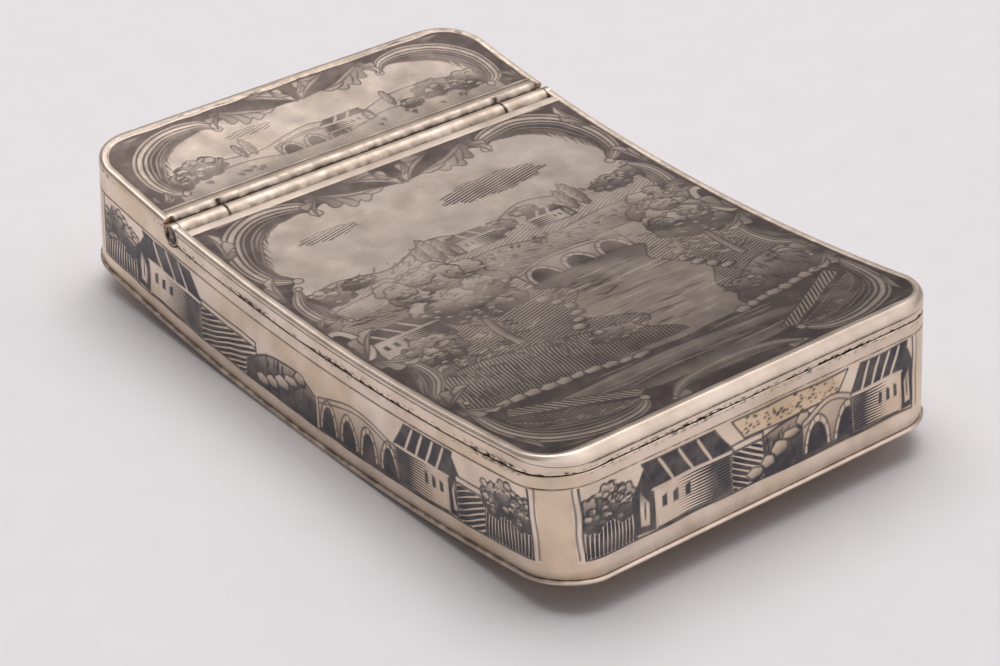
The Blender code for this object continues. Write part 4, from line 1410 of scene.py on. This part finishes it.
class SNUFFBOX_OT_panels(bpy.types.Operator):
    """Makes the four pictures inlaid in the walls"""

    bl_idname = "snuff_box.panels"
    bl_label = "Wall pictures"

    def execute(self, context):
        wall_panel("front_picture", (0, -1), -25.1, 23.6,
                   [("sky", -3.8, 16.6), ("bank", -3, 12), ("field", -4.6, 5), ("rocks", -2, 9),
                    ("grove", -24.2, 6.6), ("house", -14.8, 10.6), ("bridge", 6, 9), ("barn", 13.4, 7.4)])
        wall_panel("left_picture", (-1, 0), -39.0, 39.6,
                   [("grove", -38.4, 7.4), ("field", -21, 13), ("house", -28.6, 10), ("bank", -10, 13),
                    ("rocks", -8, 9), ("bridge", 3.4, 14), ("barn", 17, 8.6), ("field", 27, 6),
                    ("grove", 31.6, 7.4)])
        wall_panel("right_picture", (1, 0), -38.5, 38.5,
                   [("grove", -38.4, 6), ("barn", -31, 9), ("field", -21, 12), ("rocks", -12, 9),
                    ("bank", -4, 12), ("bridge", 7, 12), ("field", 19, 6), ("house", 27, 10)])
        wall_panel("rear_picture", (0, 1), -23.8, 23.8,
                   [("barn", -22.6, 10), ("field", -11, 8), ("bridge", -4, 11), ("bank", 6.6, 7),
                    ("grove", 12, 6), ("house", 19.4, 4.2)])
        return {"FINISHED"}


class SNUFFBOX_OT_deck(bpy.types.Operator):
    """Makes the fixed deck with its picture, its edge moulding and the rib beside the hinge"""

    bl_idname = "snuff_box.deck"
    bl_label = "Deck"

    rib_half = 27.5            # half the rib's length, in mm
    rib_low = 26.2             # outside this its top runs down to the ends
    rib_back = 26.6            # outside this it steps back, to leave room for the open lid's moulding

    def execute(self, context):
        box = shape()
        front = box.hinge_station + box.tube + 0.45 * MM
        rib_width = 1.15 * MM
        picture_plate("deck_picture", front + rib_width, 1, draw_deck, "body", "rear_deck", 1)
        moulding("deck_edge", 1, front - 0.25 * MM, "body", "deck_moulding", 5, DECK_FIELD)
        self.rib()
        return {"FINISHED"}

    def rib(self):
        """The half-round rib along the deck's front edge, which hugs the tube."""
        box = shape()
        angle = np.radians(np.linspace(8, 44, 8))
        clear = box.tube + 0.12 * MM
        # Over the top of the rib, from the tube's side to the deck, in mm from the hinge's axis
        over = smooth([(1.02, 0.99), (1.10, 1.12), (1.22, 1.27), (1.40, 1.41), (1.66, 1.48), (2.0, 1.47),
                       (2.4, 1.37), (2.84, 1.2)], steps=4) * MM
        s = np.concatenate([clear * np.cos(angle), over[:, 0], [2.84 * MM]])
        h = np.concatenate([clear * np.sin(angle), over[:, 1], [0.2 * MM]])
        x = self.rib_half * np.sin(np.linspace(-math.pi / 2, math.pi / 2, 161))[:, None]
        s = np.where(np.abs(x) > self.rib_back, np.maximum(s, 1.55 * MM), s)
        level = 0.9 * MM           # the ends run down towards this height over the axis
        out = np.clip(np.abs(x) - self.rib_low, 0, None) / (self.rib_half - self.rib_low)
        h = np.minimum(h, level) + np.clip(h - level, 0, None) * np.sqrt(np.clip(1 - out ** 2, 0.04, 1))
        uneven = smooth_noise(x, 11, 37) * 0.015 * MM
        grid = bend(x * MM, box.hinge_station + s + uneven, box.hinge_height + h + uneven)
        # An even film of dirt, with painted shade that darkens the rib low in the gaps beside the tube and
        # the deck, and behind the tube's breaks
        tube_break = np.exp(-((np.abs(x) - box.tube_break / MM) / 0.4) ** 2) * (s < 1.6 * MM)
        joint = np.clip((1.3 * MM - h) / (0.25 * MM), 0, 1)
        grime = np.clip(0.42 + np.where(s < 2 * MM, 0.4, 0.1) * joint + tube_break, 0, 1)
        swept_piece("hinge_rib", grid, False, ["rubbed silver"], "body", "bright_silver", "deck_hinge_rib",
                    grime=grime)


class SNUFFBOX_OT_hinge(bpy.types.Operator):
    """Makes the hinge tubes, their pin, the plugs and the trough"""

    bl_idname = "snuff_box.hinge"
    bl_label = "Hinge"

    pin_half = 26.7 * MM       # half the pin's length

    def tube(self, name, start, end, body, node):
        """One length of tube with softened ends, dirty there and under an even film, with painted shade on
        its sides where it dips under its neighbours.
        """
        box = shape()
        soft = 0.07 * MM
        bore = 0.75 * MM
        along = np.concatenate([[start, start + soft], np.linspace(start + 0.3 * MM, end - 0.3 * MM, 24),
                                [end - soft, end, end, start]])
        radius = np.full(along.size, box.tube)
        radius[[0, -3]] = box.tube - soft
        radius[[-2, -1]] = bore
        ends = 0.8 * np.clip(1 - np.minimum(along - start, end - along) / (0.2 * MM), 0, 1)
        turn = np.linspace(0, 360, TURN_STEPS, endpoint=False)[:, None]
        # Painted shade: darker on the tube's sides, at turns far from its top near 103 degrees
        grime = np.clip(ends + 0.34 + 0.3 * np.clip((np.abs(turn - 103) - 20) / 30, 0, 1), 0, 1)
        turned(name, radius, along, "rubbed silver", body, "bright_silver", node, grime)

    def execute(self, context):
        box = shape()
        gap = 0.045 * MM
        half = box.width / 2
        self.tube("tube_left", -half + 0.8 * MM, -box.tube_break - gap, "body", "knuckle_left")
        self.tube("tube_right", box.tube_break + gap, half - 0.8 * MM, "body", "knuckle_right")
        self.tube("tube_centre", -box.tube_break + gap, box.tube_break - gap, "lid", "knuckle_centre")
        pin = 0.45 * MM
        ends = self.pin_half * np.array([-1, -1, 1, 1])
        turned("pin", [0.0, pin, pin, 0.0], ends, "drawn wire", "body", "pin_wire", "hinge_pin")
        for side, name in ((-1, "left"), (1, "right")):
            # A disc with a dished face: how far in from the wall's side, and how far out from the axis
            face = np.array([0.79, 0.79, 0.07, 0.02, 0.02, 0.22, 0.26]) * MM
            along = side * (half - face)
            radius = np.array([0.0, 1.30, 1.30, 1.25, 1.08, 0.98, 0.0]) * MM
            # Dirt and painted shade: darker in towards the middle of the dished face
            grime = np.array([0.0, 0.0, 0.2, 0.5, 0.8, 1.0, 0.75])
            node = "hinge_plug_" + name
            turned("plug_" + name, radius, along, "wall silver", "body", "bright_silver", node, grime)
        self.trough()
        return {"FINISHED"}

    def trough(self):
        """The channel that the tube lies in: part of a ring round the tube, along the whole hinge."""
        joint = frame["joints"][0]["pos_m"]
        lean = math.atan2(joint[1], shape().bend_radius - joint[2])
        angle = np.radians(np.linspace(5, -150, 31)) + lean
        inner, outer = 1.6 * MM, 2.2 * MM
        y = joint[1] + np.concatenate([inner * np.cos(angle), outer * np.cos(angle[::-1])])
        z = joint[2] + np.concatenate([inner * np.sin(angle), outer * np.sin(angle[::-1])])
        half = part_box("hinge_trough")[1].x
        x = np.linspace(-half, half, 41)[:, None]
        grid = np.stack(np.broadcast_arrays(x, y, z), -1)
        swept_piece("trough", grid, False, ["gilding"], "body", "gilt_inside", "hinge_trough", grime=0.0)


class SNUFFBOX_OT_lid(bpy.types.Operator):
    """Makes the lid's plate with its picture, its moulding, skirt and hinge strip"""

    bl_idname = "snuff_box.lid"
    bl_label = "Lid"

    strip_half = 26.9 * MM     # half the hinge strip's length

    def execute(self, context):
        box = shape()
        front = box.hinge_station - box.tube - 0.3 * MM - 1.35 * MM
        picture_plate("lid_picture", front, -1, draw_lid, "lid", "lid_plate", 2)
        moulding("lid_edge", -1, front, "lid", "lid_moulding", 3, LID_FIELD)
        self.skirt(front)
        self.strip(front)
        return {"FINISHED"}

    def skirt(self, station):
        """The plain band between the edge moulding and the seam, pitted along its worn foot."""
        box = shape()
        soft = 0.07 * MM
        route = open_route(-1, station)
        drop = hang(route[1])
        top = box.groove - 0.03 * MM - drop
        run = run_along(route[0])[:, None]
        uneven = 0.05 * smooth_noise(run, 21, 43 * MM) + 0.03 * smooth_noise(run, 22, 5 * MM)
        foot = box.seam_top + uneven * MM
        # Rows up the band's face, and the two of its back
        share = np.array([0.0, 0.05, 0.14, 0.25, 0.38, 0.52, 0.68, 0.84, 0.95, 1.0, 1.0, 0.0])
        height = foot + (top - foot) * share
        inset = np.array([soft, 0, 0, 0, 0, 0, 0, 0, 0, 0, 0.7 * MM, 0.7 * MM])
        inset = inset + soft * (share == 1) * (np.arange(12) == 9) * (1 - corner_share(route[1]))
        near_foot = np.clip(1.25 - np.abs(share - 0.12) * 3.2, 0, 1)
        pits = near_foot * np.clip(3 * (pitting(route, height, 23, 0.9) + 0.55 * near_foot), 0, 1)
        reach = np.sqrt(np.clip(box.tube_notch ** 2 - (height[:1] - box.hinge_height) ** 2, 0, None))
        grid = sweep(route, inset + 0.06 * MM * pits, height, box.hinge_station - reach)
        lines = grime_near(height + drop, [box.groove], GROOVE_DIRT) * (1 - 0.95 * corner_share(route[1]))
        lines = lines + 0.5 * (share < 0.03)
        swept_piece("lid_band", grid, False, ["wall silver", "gilding"], "lid", "wall_silver", "lid_skirt",
                    [len(share) - 2], grime=np.clip(np.maximum(lines, pits), 0, 1),
                    worn=0.35 * corner_wear(route, 36))

    def strip(self, station):
        """The plain strip beside the tube: a lip hollowed to hug the tube, with a softened upright edge."""
        box = shape()
        clear = box.tube + 0.25 * MM       # radius of the hollow round the axis
        outer = box.tube + 0.9 * MM        # radius of the lip's underside
        edge = -1.48 * MM                  # where the upright edge stands, from the axis
        soft, drop = 0.56 * MM, 0.45 * MM  # how far in and how far down its rounding goes
        top = box.depth - box.hinge_height
        foot = top - box.plate
        hollow = np.linspace(math.pi - math.asin((top - drop) / clear), math.radians(195), 12)
        back = np.linspace(math.radians(195), math.pi - math.asin(foot / outer), 10)
        over = np.linspace(math.pi / 2, 0, 7)
        front = station - box.hinge_station
        s = np.concatenate([edge - soft + soft * np.cos(over), clear * np.cos(hollow), outer * np.cos(back),
                            [front, front]])
        h = np.concatenate([top - drop + drop * np.sin(over), clear * np.sin(hollow), outer * np.sin(back),
                            [foot, top]])
        x = np.linspace(-self.strip_half, self.strip_half, 107)[:, None]
        grid = bend(x, box.hinge_station + s, box.hinge_height + h)
        # Painted shade: darker down the lip's edge and into the hollow round the tube
        grime = np.clip(0.03 + 0.7 * (top - 0.25 * MM - h) / (0.3 * MM), 0.03, 0.75)
        swept_piece("hinge_strip", grid, False, ["rubbed silver"], "lid", "bright_silver", "lid_hinge_strip",
                    grime=grime)


class SNUFFBOX_OT_stage(bpy.types.Operator):
    """Makes the table, the soft studio light and the camera"""

    bl_idname = "snuff_box.stage"
    bl_label = "Stage"

    azimuth = math.radians(-39.212)
    elevation = math.radians(31.682)
    roll = math.radians(0.446)
    distance = 0.34431
    target = Vector((0.000660, -0.000108, 0.002606))
    lens = 107.836             # mm, for a picture 36 mm wide

    def camera(self):
        """The camera where the photograph was taken from."""
        back = Vector((math.sin(self.azimuth) * math.cos(self.elevation),
                       -math.cos(self.azimuth) * math.cos(self.elevation), math.sin(self.elevation)))
        right = Vector((0, 0, 1)).cross(back).normalized()
        up = back.cross(right)
        turn = Matrix((right, up, back)).transposed() @ Matrix.Rotation(self.roll, 3, "Z")
        data = bpy.data.cameras.new("camera")
        data.lens = self.lens
        data.sensor_width = 36.0
        data.clip_start, data.clip_end = 0.01, 10.0
        made = bpy.data.objects.new("camera", data)
        made.matrix_world = Matrix.Translation(self.target + back * self.distance) @ turn.to_4x4()
        bpy.context.scene.collection.objects.link(made)
        bpy.context.scene.camera = made

    def sky(self, strength):
        """Even light all round, brighter with height and dimmer in front, and a pale screen on the right.

        The metal mirrors a bright window low before the box, which is too far off to light the table.
        """
        world = bpy.data.worlds.new("studio")
        world.use_nodes = True
        tree = world.node_tree
        way = add(tree, "TexCoord", {}, "Generated")
        height = add(tree, "SeparateXYZ", {0: way}, "Z")
        front = add(tree, "VectorMath", {0: way, 1: (-0.5, -0.87, 0.0)}, "Value", operation="DOT_PRODUCT")
        mirrored_ray = add(tree, "LightPath", {}, "Is Glossy Ray")
        most = add(tree, "Math", {0: mirrored_ray, 1: 0.1, 2: 1.0}, operation="MULTIPLY_ADD")
        limits = {"Value": height, "From Min": 0.18, "From Max": 0.55, "To Min": 0.3, "To Max": most}
        rise = add(tree, "MapRange", limits)
        limits = {"Value": front, "From Min": -0.2, "From Max": 0.7, "To Min": 1.0, "To Max": 0.12}
        shade = add(tree, "MapRange", limits)
        power = add(tree, "Math", {0: rise, 1: shade}, operation="MULTIPLY")
        screen = add(tree, "VectorMath", {0: way, 1: (0.54, -0.27, 0.80)}, "Value", operation="DOT_PRODUCT")
        glow = add(tree, "MapRange", {"Value": screen, "From Min": 0.78, "From Max": 0.95, "To Max": 0.7})
        power = add(tree, "Math", {0: power, 1: glow}, operation="ADD")
        ahead = add(tree, "VectorMath", {0: way, 1: (-0.15, -0.99, 0.0)}, "Value", operation="DOT_PRODUCT")
        window = add(tree, "MapRange", {"Value": ahead, "From Min": 0.2, "From Max": 0.65, "To Max": 1.95})
        window = add(tree, "Math", {0: window, 1: mirrored_ray}, operation="MULTIPLY")
        power = add(tree, "Math", {0: power, 1: window}, operation="ADD")
        power = add(tree, "Math", {0: power, 1: strength}, operation="MULTIPLY")
        background = tree.nodes["Background"]
        background.inputs["Color"].default_value = (*linear("#fcfafd"), 1.0)
        tree.links.new(power, background.inputs["Strength"])
        bpy.context.scene.world = world

    def lamp(self, name, place, size, power, colour="#ffffff"):
        """A soft rectangular lamp that faces the box."""
        data = bpy.data.lights.new(name, "AREA")
        data.shape = "RECTANGLE"
        data.size, data.size_y = size
        data.energy = power
        data.color = linear(colour)
        made = bpy.data.objects.new(name, data)
        made.location = place
        made.rotation_euler = Vector(place).to_track_quat("Z", "Y").to_euler()
        bpy.context.scene.collection.objects.link(made)

    def execute(self, context):
        studio = context.scene.snuff_box_studio
        half = 1.5
        u, v = np.meshgrid(np.linspace(-half, half, 33), np.linspace(-half, half, 33), indexing="ij")
        points = np.stack([u, v, np.full_like(u, -0.02 * MM)], -1)
        mesh = bpy.data.meshes.new("table")
        mesh.from_pydata(points.reshape(-1, 3), [], grid_faces(np.arange(u.size).reshape(u.shape)))
        mesh.materials.append(the("table paper"))
        table = bpy.data.objects.new("table", mesh)
        context.scene.collection.objects.link(table)
        self.sky(studio.sky)
        context.scene.view_settings.view_transform = "Standard"
        self.lamp("overhead", (0.21, 0.36, 1.40), (1.35, 1.35), studio.key, "#fffdfb")
        self.camera()
        return {"FINISHED"}


class SNUFFBOX_PT_sidebar(bpy.types.Panel):
    """Lists what makes the box"""

    bl_idname = "SNUFFBOX_PT_sidebar"
    bl_label = "Snuff box"
    bl_space_type = "VIEW_3D"
    bl_region_type = "UI"
    bl_category = "Snuff box"

    def draw(self, context):
        for maker in MAKERS:
            self.layout.operator(maker.bl_idname)
        for name in GROUPS:
            group = getattr(context.scene, name)
            column = self.layout.column()
            for key in group.__annotations__:
                column.prop(group, key)


MAKERS = (SNUFFBOX_OT_base, SNUFFBOX_OT_wall, SNUFFBOX_OT_panels, SNUFFBOX_OT_deck, SNUFFBOX_OT_hinge,
          SNUFFBOX_OT_lid, SNUFFBOX_OT_stage)
GROUPS = {
    "snuff_box_shape": SnuffBoxShape,
    "snuff_box_finish": SnuffBoxFinish,
    "snuff_box_studio": SnuffBoxStudio,
}


def register():
    """Registers the classes and gives the scene their settings."""
    for kind in (*GROUPS.values(), *MAKERS, SNUFFBOX_PT_sidebar):
        bpy.utils.register_class(kind)
    for key, kind in GROUPS.items():
        setattr(bpy.types.Scene, key, PointerProperty(type=kind))


def unregister():
    """Takes away what register added."""
    for key in GROUPS:
        delattr(bpy.types.Scene, key)
    for kind in reversed((*GROUPS.values(), *MAKERS, SNUFFBOX_PT_sidebar)):
        bpy.utils.unregister_class(kind)


def main():
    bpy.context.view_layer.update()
    register()
    bpy.ops.snuff_box.base()
    bpy.ops.snuff_box.wall()
    bpy.ops.snuff_box.panels()
    bpy.ops.snuff_box.deck()
    bpy.ops.snuff_box.hinge()
    bpy.ops.snuff_box.lid()
    bpy.ops.snuff_box.stage()


if __name__ == "__main__":
    main()
